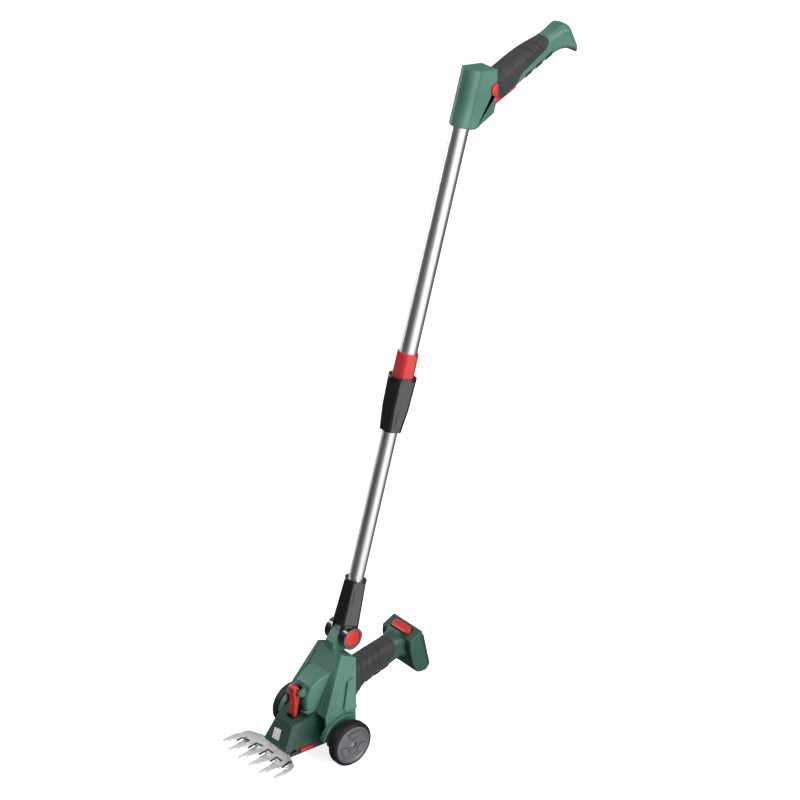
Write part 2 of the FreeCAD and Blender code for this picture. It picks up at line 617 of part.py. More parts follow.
def hood_block(inset=0.0, drop=0.0, front=0.0, rear=0.0):
    wires = []
    for i, (low_y, top_y, low_half, top_half, top_z) in enumerate(HOOD_SECTIONS):
        shift = front if i == 0 else (rear if i == len(HOOD_SECTIONS) - 1 else 0.0)
        corners = [V(-low_half + inset, low_y + shift, HOOD_BOTTOM - drop),
                   V(low_half - inset, low_y + shift, HOOD_BOTTOM - drop),
                   V(top_half - inset, top_y + shift, top_z - inset),
                   V(-top_half + inset, top_y + shift, top_z - inset)]
        wires.append(Part.makePolygon(corners + corners[:1]))
    return Part.makeLoft(wires, True, True)


def gear_centres():
    """From the gear's axis back to the pinion's, with a little play so the teeth don't bind."""
    return (dim("gear_teeth") + dim("pinion_teeth")) * dim("gear_module") / 2 + 0.1


def build_gear_head():
    wall = 2.0
    hood = hood_block().cut(hood_block(inset=wall, drop=5, front=wall, rear=3))
    post = bar_z(5, 0, dim("gear_y"), 41.5, 78)
    latch_cup = box(-9.5, 9.5, -56, -37, 56, 80)
    hood = hood.fuse([post.common(hood_block(inset=1.0)), latch_cup.common(hood_block())])
    hood = hood.cut(box(-7.3, 7.3, -54, -35, 60, 90))
    hood = hood.cut(bar_z(dim("gear_axle_radius"), 0, dim("gear_y"), 30, 52))
    feature("gear_head_cover", hood, GROUND)

    base_bottom = 21.5
    blade_bottom = dim("fixed_blade_z")
    rail_top = HOOD_BOTTOM - 0.1
    outline = [(-27.0, -73.0), (27.0, -73.0), (30.0, -15.0), (30.0, -5.0), (-30.0, -5.0), (-30.0, -15.0)]
    corners = [V(x, y, base_bottom) for x, y in outline]
    base = Part.Face(Part.makePolygon(corners + corners[:1])).extrude(V(0, 0, rail_top - base_bottom))
    slot = box(-26.4, 26.4, -80, -8, blade_bottom, 40)
    slot_front = box(-40, 40, -80, -64, blade_bottom, 40)
    pockets = [box(23.6, 32, -58.4, -37.6, 24.0, 29.3), box(-32, -23.6, -58.4, -37.6, 24.0, 29.3)]
    base = base.cut([slot, slot_front, bar_z(dim("blade_pin_radius"), 0, dim("blade_pivot_y"), 24.2, 30)] + pockets)
    feature("gear_head_base", base, GROUND)

    for side, word in ((1, "right"), (-1, "left")):
        button = doc.addObject("Part::Box", "Release")
        button.Length = 4.2
        button.Width = 20
        button.Height = 4.4
        keep(f"blade_release_{word}", button,
             GROUND * place(side * 28.4 - 2.1, -58, 24.4))

    gear_y = dim("gear_y")
    gear = gear_shape(int(dim("gear_teeth")), dim("gear_module"), dim("gear_width"),
                      dim("gear_axle_radius") + dim("running_gap"))
    throw = 1.8
    throw_angle = 0.9
    crank_height = 2.2
    crank_middle = V(throw * math.cos(throw_angle), throw * math.sin(throw_angle), -crank_height)
    gear = gear.fuse(Part.makeCylinder(2.4, crank_height, crank_middle))
    feature("drive_gear", gear, GROUND * place(y=gear_y, z=dim("gear_bottom")))
    keep("gear_axle", cylinder("dims.gear_axle_radius", "16", place()),
         GROUND * place(y=gear_y, z=dim("gear_bottom") + 0.3))

    motor_y = gear_y + gear_centres()
    half_tooth = 180.0 / dim("pinion_teeth")
    pinion = gear_shape(int(dim("pinion_teeth")), dim("gear_module"), dim("gear_width") + 1.5,
                        dim("shaft_radius"))
    shaft_top = dim("motor_bottom") - dim("gear_bottom") + dim("shaft_reach") - 1
    pinion = pinion.fuse(Part.makeCylinder(dim("shaft_radius"), shaft_top))
    feature("motor_pinion", pinion,
            GROUND * place(y=motor_y, z=dim("gear_bottom"), angle=90 + half_tooth))
    shaft_bore = "dims.shaft_radius + dims.running_gap"
    turned("motor",
           [(shaft_bore, "0"), ("5", "0"), ("5", "2"), ("dims.motor_radius", "2"),
            ("dims.motor_radius", "dims.motor_height - 1"), ("dims.motor_radius - 1", "dims.motor_height"),
            ("0", "dims.motor_height"), ("0", "dims.shaft_reach"), (shaft_bore, "dims.shaft_reach")],
           GROUND * place(y=motor_y, z=dim("motor_bottom")))


# ------------------------------------------------------------------ cordless tool body and its foot
TOOL_STATIONS = [   # (y, z, slope, half width, half height)
    (-14.6, 52.0, 0.0, 24.0, 22.5),
    (8.0, 61.0, 6.0, 24.5, 28.0),
    (35.0, 77.0, 12.0, 20.0, 27.0),
    (60.0, 91.0, 12.0, 15.6, 19.6),
    (90.0, 98.0, 12.0, 15.0, 18.4),
    (113.0, 103.5, 12.0, 14.4, 17.2),
    (124.0, 106.0, 12.0, 15.5, 17.5),
    (136.0, 103.0, 12.0, 24.0, 27.0),
]
FOOT_OUTLINE = [(152, 131.5), (131.5, 122.5), (130.5, 112), (136, 84), (143, 69), (150, 66.5), (160, 66.5),
                (166, 74)]
TOOL_TRIGGER_PIVOT = (47.5, 76.5)
RELEASE_SEAT = place(y=142.4, z=123.5, axis=V(1, 0, 0), angle=23.7)
TOOL_RUBBER = [(20, 60), (20, 130), (108, 132), (116, 118), (117, 104), (111, 95), (62, 80), (48, 70)]


def battery_rail_bars():
    rail_outline = [(153.68, 124.5), (150.8, 123.9), (162.4, 76.4), (165.28, 77)]
    return [side_prism(rail_outline, 2.5, x) for x in (27.5, -27.5)]


def battery_contact_blades():
    blades = []
    for x in (-12.0, -4.0, 4.0, 12.0):
        blade = box(x - 0.4, x + 0.4, 0, 17.4, -6, 6)
        blade.Placement = place(y=140.7, z=102, axis=V(1, 0, 0), angle=12.6)
        blades.append(blade)
    return blades


def build_tool():
    wall = 2.2
    rubber_thick = 2.0
    loft = grip_loft(TOOL_STATIONS)
    inner_stations = [(-18.0, 52.0, 0.0, 24.0, 22.5)] + TOOL_STATIONS
    foot = side_prism(FOOT_OUTLINE, 30)
    body = loft.fuse(foot)
    rubber_zone = side_prism(TOOL_RUBBER, 30).common(box(-40, 40, 38, 140, 0, 150))
    rubber = loft.cut(grip_loft(TOOL_STATIONS, rubber_thick)).common(rubber_zone)
    rubber = max(rubber.Solids, key=lambda solid: solid.Volume)
    pads = grip_pads(TOOL_STATIONS, [(74.0, 74.6, 12), (88.0, 78.2, 12), (102.0, 82.2, 12)])
    cavity = grip_loft(inner_stations, wall + rubber_thick)
    foot_room = side_prism([(149, 127), (135, 120), (135, 108), (141, 84), (147, 69.5), (158, 69.5), (161, 76)], 27)
    trigger_slot = box(-5.3, 5.3, 42, 66.5, 50, 80)
    lock_bore = bar_x(4.3, -30, 30, 38, 88)
    release_room = box(-17.4, 17.4, -6.4, 6.4, -6.0, 12.0)
    release_room.Placement = RELEASE_SEAT
    spots = [(-10.5, 62, 101), (-10.5, 108, 112), (-20, 148, 75), (-10.0, 62, 84.5)]
    holes = screw_holes(spots, 14)
    rubber = hollowed(rubber, [lock_bore] + holes)
    terminal_window = box(-15, 15, -6, 14, -7.6, 7.6)
    terminal_window.Placement = place(y=150, z=104, axis=V(1, 0, 0), angle=12.6)
    gear_room = bar_z(24, 0, dim("gear_y"), 33, 39.2)
    motor_y = dim("gear_y") + gear_centres()
    pinion_room = bar_z(8, 0, motor_y, 33, dim("motor_bottom"))
    motor_room = bar_z(dim("motor_radius") + dim("clear_gap"), 0, motor_y, dim("motor_bottom") - 0.3, 71.4)
    tools = [cavity, foot_room, trigger_slot, lock_bore, release_room, gear_room, pinion_room, motor_room,
             terminal_window]
    tools += [rubber] + pads + battery_rail_bars()
    split_shell(("tool_shell_left", "tool_shell_right"), body, tools + holes,
                screw_bosses(spots, body, rubber), GROUND)
    feature("tool_grip_pad", rubber, GROUND)
    feature("tool_underside_pads", Part.makeCompound(pads), GROUND)
    screws_at("tool_screws", spots, GROUND)

    lever = side_prism([(44.5, 74), (46, 80), (54, 80), (65, 79), (66, 72), (64, 61.5), (61, 60), (57, 64),
                        (50, 68.5)], 5)
    lever = lever.cut(bar_x(1.5 + dim("running_gap"), -10, 10, *TOOL_TRIGGER_PIVOT))
    feature("tool_trigger", lever, GROUND)
    keep("tool_trigger_pin", cylinder("1.5", "16", place()), GROUND * place(-8, *TOOL_TRIGGER_PIVOT) * SIDEWAYS)
    turned("tool_lock_button",
           [("0", "0"), ("4", "0"), ("4", "37"), ("3", "38"), ("0", "38")],
           GROUND * place(-19, 38, 88) * SIDEWAYS)
    switch = doc.addObject("Part::Box", "Switch")
    switch.Length = 14
    switch.Width = 18
    switch.Height = 8
    keep("tool_switch", switch, GROUND * place(-7, 50, 86.3, axis=V(1, 0, 0), angle=12))
    board = doc.addObject("Part::Box", "Board")
    board.Length = 36
    board.Width = 1.6
    board.Height = 34
    keep("circuit_board", board, GROUND * place(-18, 143.5, 80, axis=V(1, 0, 0), angle=12))


def build_battery_side():
    """Black slide rails on the foot's rear face, the contacts between them and the red release."""
    feature("battery_rails", Part.makeCompound(battery_rail_bars()), GROUND)
    feature("battery_contacts", Part.makeCompound(battery_contact_blades()), GROUND)
    release = box(-17, 17, -6, 6, 0, 8)
    release = release.makeFillet(5.6, [e for e in release.Edges if abs(e.tangentAt(0).z) > 0.9])
    feature("battery_release", release, GROUND * RELEASE_SEAT)


# ------------------------------------------------------------------ upper handle (drawn in the pole's frame)
HANDLE_STATIONS = [
    (40.0, 765.0, 40.0, 16.0, 19.0),
    (58.7, 779.7, 39.0, 15.6, 17.6),
    (79.4, 796.9, 37.0, 15.0, 17.2),
    (104.0, 814.0, 34.0, 13.7, 15.2),
    (121.0, 825.5, 33.0, 13.2, 14.4),
    (135.0, 833.0, 36.0, 14.6, 17.6),
    (148.5, 833.0, 40.6, 16.0, 23.5),
]
HANDLE_TRIGGER_PIVOT = (41.0, 747.5)
MOON_CENTRE = (32.5, 763.0)
BUTT_RIM = (151.5, 835.6, 40.6, 12.8, 20.3)
HEAD_OUTLINE = [(0, 709.5), (14, 710.5), (24, 730), (34, 752), (37, 755), (31, 775), (27, 789.5), (0, 786)]
HANDLE_RUBBER = [(22, 810), (27.5, 790), (31.8, 772), (37.2, 753.5), (47, 750), (66, 770), (72, 785.5), (106.5, 818),
                 (109, 827), (103, 842), (60, 850)]


def build_handle():
    wall = 2.2
    rubber_thick = 2.0
    loft = grip_loft(HANDLE_STATIONS)
    head = side_prism(HEAD_OUTLINE, dim("head_radius") + 0.1)
    front = bar_z(dim("head_radius"), 0, 0, 709.5, 786)
    guard_ends = []
    for y, half_width, low, high in ((12, 15.4, 710, 748), (45.8, 8, 729.5, 744)):
        corners = [V(-half_width, y, low), V(half_width, y, low), V(half_width, y, high), V(-half_width, y, high)]
        guard_ends.append(Part.makePolygon(corners + corners[:1]))
    guard = Part.makeLoft(guard_ends, True, True)
    rim = Part.makeLoft([grip_wire(HANDLE_STATIONS[-1]), grip_wire(BUTT_RIM)], True, True)
    body = loft.fuse([head, front, guard, rim])
    rubber_zone = side_prism(HANDLE_RUBBER, 30)
    rubber = loft.cut(grip_loft(HANDLE_STATIONS, rubber_thick)).common(rubber_zone)
    rubber = max(rubber.Solids, key=lambda solid: solid.Volume)
    pads = grip_pads(HANDLE_STATIONS, [(88.0, 781.8, 39), (103.0, 794.2, 38), (118.0, 805.9, 37)])
    cavity = grip_loft(HANDLE_STATIONS[:-1], wall + rubber_thick)
    head_room = side_prism([(14.5, 718), (22, 736), (31, 754), (28, 786), (14.5, 785)], 13.5)
    tube_bore = bar_z(dim("upper_radius"), 0, 0, 700, dim("upper_bottom") + dim("upper_length"))
    trigger_slot = side_prism([(36.5, 734), (50, 734), (86, 762), (72, 780), (40, 760), (36.5, 756)], 5.3)
    pin_bore = bar_x(1.5, -8, 8, *HANDLE_TRIGGER_PIVOT)
    moon_room = bar_x(dim("moon_radius") + dim("clear_gap"), -30, 30, *MOON_CENTRE).common(
        side_prism([(20, 754), (37.2, 754), (31.9, 772), (20, 773)], 30))
    spots = [(-12.5, 24, 730), (-12.5, 22, 779), (-10.5, 66, 785.5), (-9.5, 113, 820)]
    holes = screw_holes(spots, 14)
    rubber = hollowed(rubber, holes)
    tools = [rubber, cavity, head_room, tube_bore, trigger_slot, pin_bore, moon_room] + pads
    split_shell(("handle_shell_left", "handle_shell_right"), body, tools + holes,
                screw_bosses(spots, body, rubber), POLE)
    feature("handle_grip_pad", rubber, POLE)
    feature("handle_underside_pads", Part.makeCompound(pads), POLE)
    screws_at("handle_screws", spots, POLE)

    pivot = HANDLE_TRIGGER_PIVOT
    lever = side_prism([(38.5, 743), (45.5, 740), (49, 741.5), (73.5, 760.6), (76.8, 763.5), (77, 766.2),
                        (70, 772.5), (60, 766), (38, 752.5)], 5)
    lever = lever.cut(bar_x(1.5 + dim("running_gap"), -10, 10, *pivot))
    feature("handle_trigger", lever, POLE)
    keep("handle_trigger_pin", cylinder("1.5", "16", place()), POLE * place(-8, *pivot) * SIDEWAYS)
    moon = bar_x(dim("moon_radius"), -17.6, 17.6, *MOON_CENTRE).common(
        side_prism([(20, 754.4), (36.7, 754.4), (31.6, 771.7), (20, 772.6)], 30))
    feature("handle_lock_button", moon, POLE)
    switch = doc.addObject("Part::Box", "Switch")
    switch.Length = 14
    switch.Width = 18
    switch.Height = 8
    keep("handle_switch", switch, POLE * place(-7, 50, 771.5, axis=V(1, 0, 0), angle=39))


def check_and_export():
    doc.recompute()
    for obj in doc.Objects:
        if "Invalid" in obj.State or "Error" in obj.State:
            raise RuntimeError(f"{obj.Label}: {obj.State}")
    for name, obj in nodes.items():
        if obj.Shape.isNull() or not obj.Shape.isValid():
            raise RuntimeError(f"{name} has no valid shape")
    for name, obj in nodes.items():
        obj.Shape.exportStep(f"parts/{name}.step")
        print(f"{name}: {len(obj.Shape.Solids)} solid(s), {obj.Shape.Volume / 1000:.2f} cm3")


build_pole()
build_knuckle()
build_cradle()
build_wheels()
build_blades()
build_gear_head()
build_tool()
build_battery_side()
build_handle()
check_and_export()
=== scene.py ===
# %% [markdown]
# # Cordless grass shears on a wheeled pole
# The tool is a small battery shear clipped into a cradle with two wheels. A two-part aluminium
# pole rises from a tilting knuckle to a second handle with its own trigger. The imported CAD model
# is loaded first as a fixed frame: it says where every piece is and how it moves. Everything made
# here is then dressed around it.

# %% Load the frame
import functools
import json
import math
import bmesh
import bpy
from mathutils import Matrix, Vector


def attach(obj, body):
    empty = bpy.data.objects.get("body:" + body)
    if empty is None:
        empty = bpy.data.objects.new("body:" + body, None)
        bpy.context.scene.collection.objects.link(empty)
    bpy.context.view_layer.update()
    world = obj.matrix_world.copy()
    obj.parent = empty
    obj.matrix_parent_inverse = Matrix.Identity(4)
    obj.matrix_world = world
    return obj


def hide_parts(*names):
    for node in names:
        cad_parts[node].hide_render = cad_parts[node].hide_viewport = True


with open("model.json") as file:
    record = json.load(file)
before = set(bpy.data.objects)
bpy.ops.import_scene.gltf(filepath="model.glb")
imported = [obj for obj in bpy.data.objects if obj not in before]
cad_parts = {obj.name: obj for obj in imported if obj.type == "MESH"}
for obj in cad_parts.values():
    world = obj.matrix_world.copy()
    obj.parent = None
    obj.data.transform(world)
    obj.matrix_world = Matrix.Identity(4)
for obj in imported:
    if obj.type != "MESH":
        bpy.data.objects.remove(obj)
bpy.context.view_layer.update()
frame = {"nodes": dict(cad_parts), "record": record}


# %% [markdown]
# Two ways of giving a place are used all through. `ground` takes millimetres with the wheel axle
# at Y = 0. `pole` takes millimetres across, forward-to-back and along the leaning pole, from its
# tilt pivot. Both give metres in the frame of the CAD model, so a size can be written as it would
# be on a drawing.

# %% Places on the ground and along the pole
AXLE_FROM_MIDDLE = 147.65
LEAN = math.radians(16.2)
PIVOT = (39.3, 159.5)


def ground(x, y, z):
    return Vector((x, y - AXLE_FROM_MIDDLE, z)) / 1000


def pole(x, back, along):
    y = PIVOT[0] + back * math.cos(LEAN) + along * math.sin(LEAN)
    z = PIVOT[1] - back * math.sin(LEAN) + along * math.cos(LEAN)
    return ground(x, y, z)


print("pole pivot at", tuple(round(c, 4) for c in pole(0, 0, 0)))

# %% [markdown]
# The camera stands to the right and in front of the cutting head, high enough to look down at
# about 28 degrees, and far away with a long lens, so that the tall pole isn't bent by
# perspective. The object stands on a pale floor. A large soft lamp on the wheel side does most of
# the work, a narrow one on the other side draws a thin bright edge, a third lights the tops, and
# a weak sky fills the shadows.

# %% Camera and lamps
LENS_LENGTH, SENSOR_WIDTH, FAR_LIMIT = 144.6, 36, 50
CAMERA_PLACE = (2853.47, -2214.63, 2470.41)
CAMERA_TARGET = (0, 137.6, 479.2)
MIDDLE = (0, 0, 0.45)
LAMPS = [     # name, place, width, height, watts
    ("key_lamp", (3.4, 0.3, 1.5), 1.5, 2.4, 84),
    ("rim_lamp", (-2.4, -1.3, 1.5), 0.6, 2.4, 34),
    ("top_lamp", (0.3, 0.8, 3.2), 1.6, 1.6, 26),
]
scene = bpy.context.scene
scene.view_settings.view_transform = "Standard"


def aimed(obj, place, target):
    obj.location = place
    obj.rotation_euler = (Vector(target) - Vector(place)).to_track_quat("-Z", "Y").to_euler()
    scene.collection.objects.link(obj)
    return obj


lens = bpy.data.cameras.new("long_lens")
lens.lens = LENS_LENGTH
lens.sensor_width = SENSOR_WIDTH
lens.clip_end = FAR_LIMIT
camera = bpy.data.objects.new("camera", lens)
scene.camera = aimed(camera, ground(*CAMERA_PLACE), ground(*CAMERA_TARGET))

for name, place, width, height, watts in LAMPS:
    lamp = bpy.data.lights.new(name, "AREA")
    lamp.shape = "RECTANGLE"
    lamp.size = width
    lamp.size_y = height
    lamp.energy = watts
    aimed(bpy.data.objects.new(name, lamp), place, MIDDLE)
print("camera and", len(LAMPS), "lamps are in place")

# %% [markdown]
# Polished black plastic and satin tube only look right if the room they mirror is uneven. The sky
# is bright at both sides, a little lighter overhead, and dark in front and behind, so each flat
# picks up its own tone. The floor lies a hair below the wheels, and isn't mirrored by the object.

# %% Uneven sky and floor
SKY_STOPS = [(0.0, 1.7), (0.07, 0.9), (0.14, 0.13), (0.5, 0.10),
             (0.7, 0.25), (0.84, 0.6), (0.92, 2.1), (1.0, 2.3)]     # (place across, tone)
SKY_STRENGTH = 0.66
LIFT_FROM, LIFT_TO = (0.1, 0.6), (0.0, 0.45)     # height in the sky, and the light it adds
FLOOR_REACH, FLOOR_DROP = 9.0, 0.0005


def grey(tone):
    return (tone, tone, tone, 1)


sky = bpy.data.worlds.new("uneven_sky")
sky.use_nodes = True
tree = sky.node_tree
view = tree.nodes.new("ShaderNodeTexCoord")
parts = tree.nodes.new("ShaderNodeSeparateXYZ")
across = tree.nodes.new("ShaderNodeValToRGB")
lift = tree.nodes.new("ShaderNodeMapRange")
both = tree.nodes.new("ShaderNodeMath")
half = tree.nodes.new("ShaderNodeMapRange")
elements = across.color_ramp.elements
for element, (position, tone) in ((elements[0], SKY_STOPS[0]), (elements[1], SKY_STOPS[-1])):
    element.position, element.color = position, grey(tone)
for position, tone in SKY_STOPS[1:-1]:
    elements.new(position).color = grey(tone)
half.inputs["From Min"].default_value = -1.0
half.inputs["From Max"].default_value = 1.0
lift.inputs["From Min"].default_value, lift.inputs["From Max"].default_value = LIFT_FROM
lift.inputs["To Min"].default_value, lift.inputs["To Max"].default_value = LIFT_TO
both.operation = "ADD"
links = tree.links
links.new(view.outputs["Generated"], parts.inputs["Vector"])
links.new(parts.outputs["X"], half.inputs["Value"])
links.new(half.outputs["Result"], across.inputs["Fac"])
links.new(parts.outputs["Z"], lift.inputs["Value"])
links.new(across.outputs["Color"], both.inputs[0])
links.new(lift.outputs["Result"], both.inputs[1])
links.new(both.outputs["Value"], tree.nodes["Background"].inputs["Color"])
tree.nodes["Background"].inputs["Strength"].default_value = SKY_STRENGTH
scene.world = sky

floor_mesh = bpy.data.meshes.new("floor")
corners = [(x * FLOOR_REACH, y * FLOOR_REACH, 0) for x, y in ((-1, -1), (1, -1), (1, 1), (-1, 1))]
floor_mesh.from_pydata(corners, [], [(0, 1, 2, 3)])
floor = bpy.data.objects.new("floor", floor_mesh)
floor.location.z = -FLOOR_DROP
floor.visible_diffuse = False
floor.visible_glossy = False
scene.collection.objects.link(floor)
print("sky and floor are in place")

# %% [markdown]
# ## Finishes
# Moulded plastic is never one flat colour: it has a fine spark-eroded texture, slow drifts of
# tone, and edges that hands and gravel have rubbed paler. All of that is built from noise read in
# the object's own coordinates, so no picture files are needed. One helper lays down the parts
# that all finishes share.

# %% A helper that starts a finish
def new_finish(name, roughness, metallic=0.0, specular=0.5, coat=0.0):
    finish = bpy.data.materials.new(name)
    finish.use_nodes = True
    shader = finish.node_tree.nodes["Principled BSDF"]
    shader.inputs["Roughness"].default_value = roughness
    shader.inputs["Metallic"].default_value = metallic
    shader.inputs["Specular IOR Level"].default_value = specular
    shader.inputs["Coat Weight"].default_value = coat
    shader.inputs["Coat Roughness"].default_value = 0.12
    return finish, shader


def add_node(finish, kind, **settings):
    node = finish.node_tree.nodes.new(kind)
    for key, setting in settings.items():
        setattr(node, key, setting)
    return node


def wire(finish, source, target):
    finish.node_tree.links.new(source, target)


def noise(finish, scale, detail=3.0, stretch=(1, 1, 1)):
    """Noise in the object's own coordinates; stretch squeezes it along an axis."""
    where = add_node(finish, "ShaderNodeTexCoord")
    squeeze = add_node(finish, "ShaderNodeMapping")
    squeeze.inputs["Scale"].default_value = stretch
    grain = add_node(finish, "ShaderNodeTexNoise")
    grain.inputs["Scale"].default_value = scale
    grain.inputs["Detail"].default_value = detail
    wire(finish, where.outputs["Object"], squeeze.inputs["Vector"])
    wire(finish, squeeze.outputs["Vector"], grain.inputs["Vector"])
    return grain


def ramp(finish, source, stops):
    """A colour ramp over source; stops are (position, colour)."""
    node = add_node(finish, "ShaderNodeValToRGB")
    node.color_ramp.elements[0].position = stops[0][0]
    node.color_ramp.elements[0].color = (*stops[0][1], 1)
    node.color_ramp.elements[1].position = stops[-1][0]
    node.color_ramp.elements[1].color = (*stops[-1][1], 1)
    for position, colour in stops[1:-1]:
        node.color_ramp.elements.new(position).color = (*colour, 1)
    wire(finish, source, node.inputs["Fac"])
    return node


def grey_range(finish, source, low, high, out_low, out_high):
    node = add_node(finish, "ShaderNodeMapRange")
    node.inputs["From Min"].default_value = low
    node.inputs["From Max"].default_value = high
    node.inputs["To Min"].default_value = out_low
    node.inputs["To Max"].default_value = out_high
    wire(finish, source, node.inputs["Value"])
    return node


MIX_FACTOR, MIX_FIRST, MIX_SECOND, MIX_RESULT = 0, 6, 7, 2     # the colour sockets of a mix node


def mixed(finish, factor, first, second):
    """Blends two colours; factor is a socket, and a colour is a socket or three numbers."""
    node = add_node(finish, "ShaderNodeMix", data_type="RGBA", blend_type="MIX")
    for value, index in ((factor, MIX_FACTOR), (first, MIX_FIRST), (second, MIX_SECOND)):
        if hasattr(value, "links"):
            wire(finish, value, node.inputs[index])
        else:
            node.inputs[index].default_value = (*value, 1)
    return node.outputs[MIX_RESULT]


def bumped(finish, shader, source, strength, distance, after=None):
    node = add_node(finish, "ShaderNodeBump")
    node.inputs["Strength"].default_value = strength
    node.inputs["Distance"].default_value = distance
    wire(finish, source, node.inputs["Height"])
    if after is not None:
        wire(finish, after.outputs["Normal"], node.inputs["Normal"])
    wire(finish, node.outputs["Normal"], shader.inputs["Normal"])
    return node


WEAR_STARTS, WEAR_FULL = 0.52, 0.62     # how pointed an edge is


def worn_edges(finish):
    """White where the mesh has an outward edge, broken up by noise so it isn't a drawn line."""
    shape = add_node(finish, "ShaderNodeNewGeometry")
    edge = grey_range(finish, shape.outputs["Pointiness"], WEAR_STARTS, WEAR_FULL, 0.0, 1.0)
    patchy = grey_range(finish, noise(finish, 160, 4).outputs["Fac"], 0.42, 0.62, 0.15, 1.0)
    both = add_node(finish, "ShaderNodeMath", operation="MULTIPLY")
    wire(finish, edge.outputs["Result"], both.inputs[0])
    wire(finish, patchy.outputs["Result"], both.inputs[1])
    return both.outputs["Value"]


print("finish helpers are ready")

# %% [markdown]
# **Green housing plastic.** Glass-filled nylon with a satin, finely sparked surface. Two noises
# drift the tone, a very fine one gives the spark texture its bump, and edges are rubbed a little
# lighter. The same recipe, with its own colour and gloss, makes the red controls, the polished
# black fittings, the wheel discs and the blank plate.

# %% Plastic finishes
TONE_SCALE, FLECK_SCALE, GLOSS_SCALE, SPARK_SCALE, SCUFF_SCALE = 22, 1500, 60, 2600, 90
FLECK_SHARE = 0.10


def housing_plastic(name, colour, roughness=0.42, sparkle=0.00012, drift=0.16, rubbed=0.35,
                    coat=0.0):
    """Sparked plastic; sparkle is the depth of its grain and rubbed is how pale its edges are."""
    finish, shader = new_finish(name, roughness, coat=coat)
    darker = tuple(c * (1 - drift) for c in colour)
    lighter = tuple(min(1.0, c * (1 + drift)) for c in colour)
    slow = noise(finish, TONE_SCALE, 4)
    tone = ramp(finish, slow.outputs["Fac"], [(0.32, darker), (0.5, colour), (0.68, lighter)])
    speck = noise(finish, FLECK_SCALE, 2)
    speck_tone = grey_range(finish, speck.outputs["Fac"], 0.3, 0.7, 0.0, FLECK_SHARE)
    fleck_colour = tuple(c * 1.5 + 0.01 for c in colour)
    flecked = mixed(finish, speck_tone.outputs["Result"], tone.outputs["Color"], fleck_colour)
    edge_colour = tuple(min(1.0, c * 1.7 + 0.02) for c in colour)
    rub = grey_range(finish, worn_edges(finish), 0.0, 1.0, 0.0, rubbed)
    painted = mixed(finish, rub.outputs["Result"], flecked, edge_colour)
    wire(finish, painted, shader.inputs["Base Color"])
    patches = noise(finish, GLOSS_SCALE, 5)
    gloss = grey_range(finish, patches.outputs["Fac"], 0.3, 0.7,
                       roughness - 0.06, roughness + 0.08)
    wire(finish, gloss.outputs["Result"], shader.inputs["Roughness"])
    spark = noise(finish, SPARK_SCALE, 2)
    fine = bumped(finish, shader, spark.outputs["Fac"], 0.35, sparkle)
    scuffs = noise(finish, SCUFF_SCALE, 6, stretch=(1, 1, 5))
    bumped(finish, shader, scuffs.outputs["Fac"], 0.12, 0.0002, after=fine)
    return finish


green_plastic = housing_plastic("green_housing", (0.055, 0.155, 0.115))
# A darker copy of the housing green for the shear's halves: painted shade, not a different plastic.
painted_shade_tool_green = housing_plastic("tool_green_painted_shade", (0.014, 0.062, 0.045))
deep_green = housing_plastic("deep_green_housing", (0.003, 0.038, 0.025), roughness=0.36)
red_plastic = housing_plastic("red_control", (0.50, 0.024, 0.020),
                              roughness=0.3, drift=0.08, rubbed=0.25)
black_gloss = housing_plastic("polished_black", (0.004, 0.004, 0.005), roughness=0.12,
                              sparkle=0.00001, drift=0.2, rubbed=0.02, coat=1.0)
black_satin = housing_plastic("satin_black", (0.018, 0.018, 0.020), drift=0.2, rubbed=0.2)
wheel_grey = housing_plastic("wheel_disc_grey", (0.105, 0.107, 0.115),
                             roughness=0.4, drift=0.12, rubbed=0.3)
ring_grey = housing_plastic("button_ring_grey", (0.10, 0.10, 0.105),
                            roughness=0.35, drift=0.1, rubbed=0.2)
badge_white = housing_plastic("blank_badge_plate", (0.62, 0.60, 0.58),
                              roughness=0.35, drift=0.05, rubbed=0.1)
# Flat black for the sheets that paint the shadow in the gaps at the blade roots.
painted_gap_shadow = housing_plastic("painted_gap_shadow_sheet", (0.008, 0.008, 0.009),
                             roughness=0.5, drift=0.3, rubbed=0.1)
board_green = housing_plastic("board_lacquer", (0.02, 0.12, 0.05), roughness=0.3)
print("plastic finishes:", [m.name for m in bpy.data.materials])

# %% [markdown]
# **Rubber.** The grips are a soft overmould: dark grey with a pebble grain that catches a dull
# sheen. The tyres are harder and nearly black, and a little dust dulls both in patches.

# %% Rubber finishes
RUBBER_TONE_SCALE, DUST_SCALE, FINE_SCALE = 30, 75, 1800


def soft_rubber(name, colour, dust, dust_amount, pebble, roughness=0.62, sheen=0.08):
    """Rubber with a pebble grain; dust is the colour that settles on it in patches."""
    finish, shader = new_finish(name, roughness, specular=0.4)
    slow = noise(finish, RUBBER_TONE_SCALE, 4)
    darker = tuple(c * 0.8 for c in colour)
    lighter = tuple(c * 1.25 for c in colour)
    tone = ramp(finish, slow.outputs["Fac"], [(0.3, darker), (0.7, lighter)])
    patches = noise(finish, DUST_SCALE, 6)
    dusty = grey_range(finish, patches.outputs["Fac"], 0.48, 0.75, 0.0, dust_amount)
    covered = mixed(finish, dusty.outputs["Result"], tone.outputs["Color"], dust)
    wire(finish, covered, shader.inputs["Base Color"])
    gloss = grey_range(finish, patches.outputs["Fac"], 0.3, 0.7,
                       roughness - 0.08, roughness + 0.12)
    wire(finish, gloss.outputs["Result"], shader.inputs["Roughness"])
    cells = add_node(finish, "ShaderNodeTexVoronoi")
    cells.inputs["Scale"].default_value = pebble
    where = add_node(finish, "ShaderNodeTexCoord")
    wire(finish, where.outputs["Object"], cells.inputs["Vector"])
    grained = bumped(finish, shader, cells.outputs["Distance"], 0.5, 0.00025)
    fine = noise(finish, FINE_SCALE, 3)
    bumped(finish, shader, fine.outputs["Fac"], 0.3, 0.0001, after=grained)
    shader.inputs["Sheen Weight"].default_value = sheen
    return finish


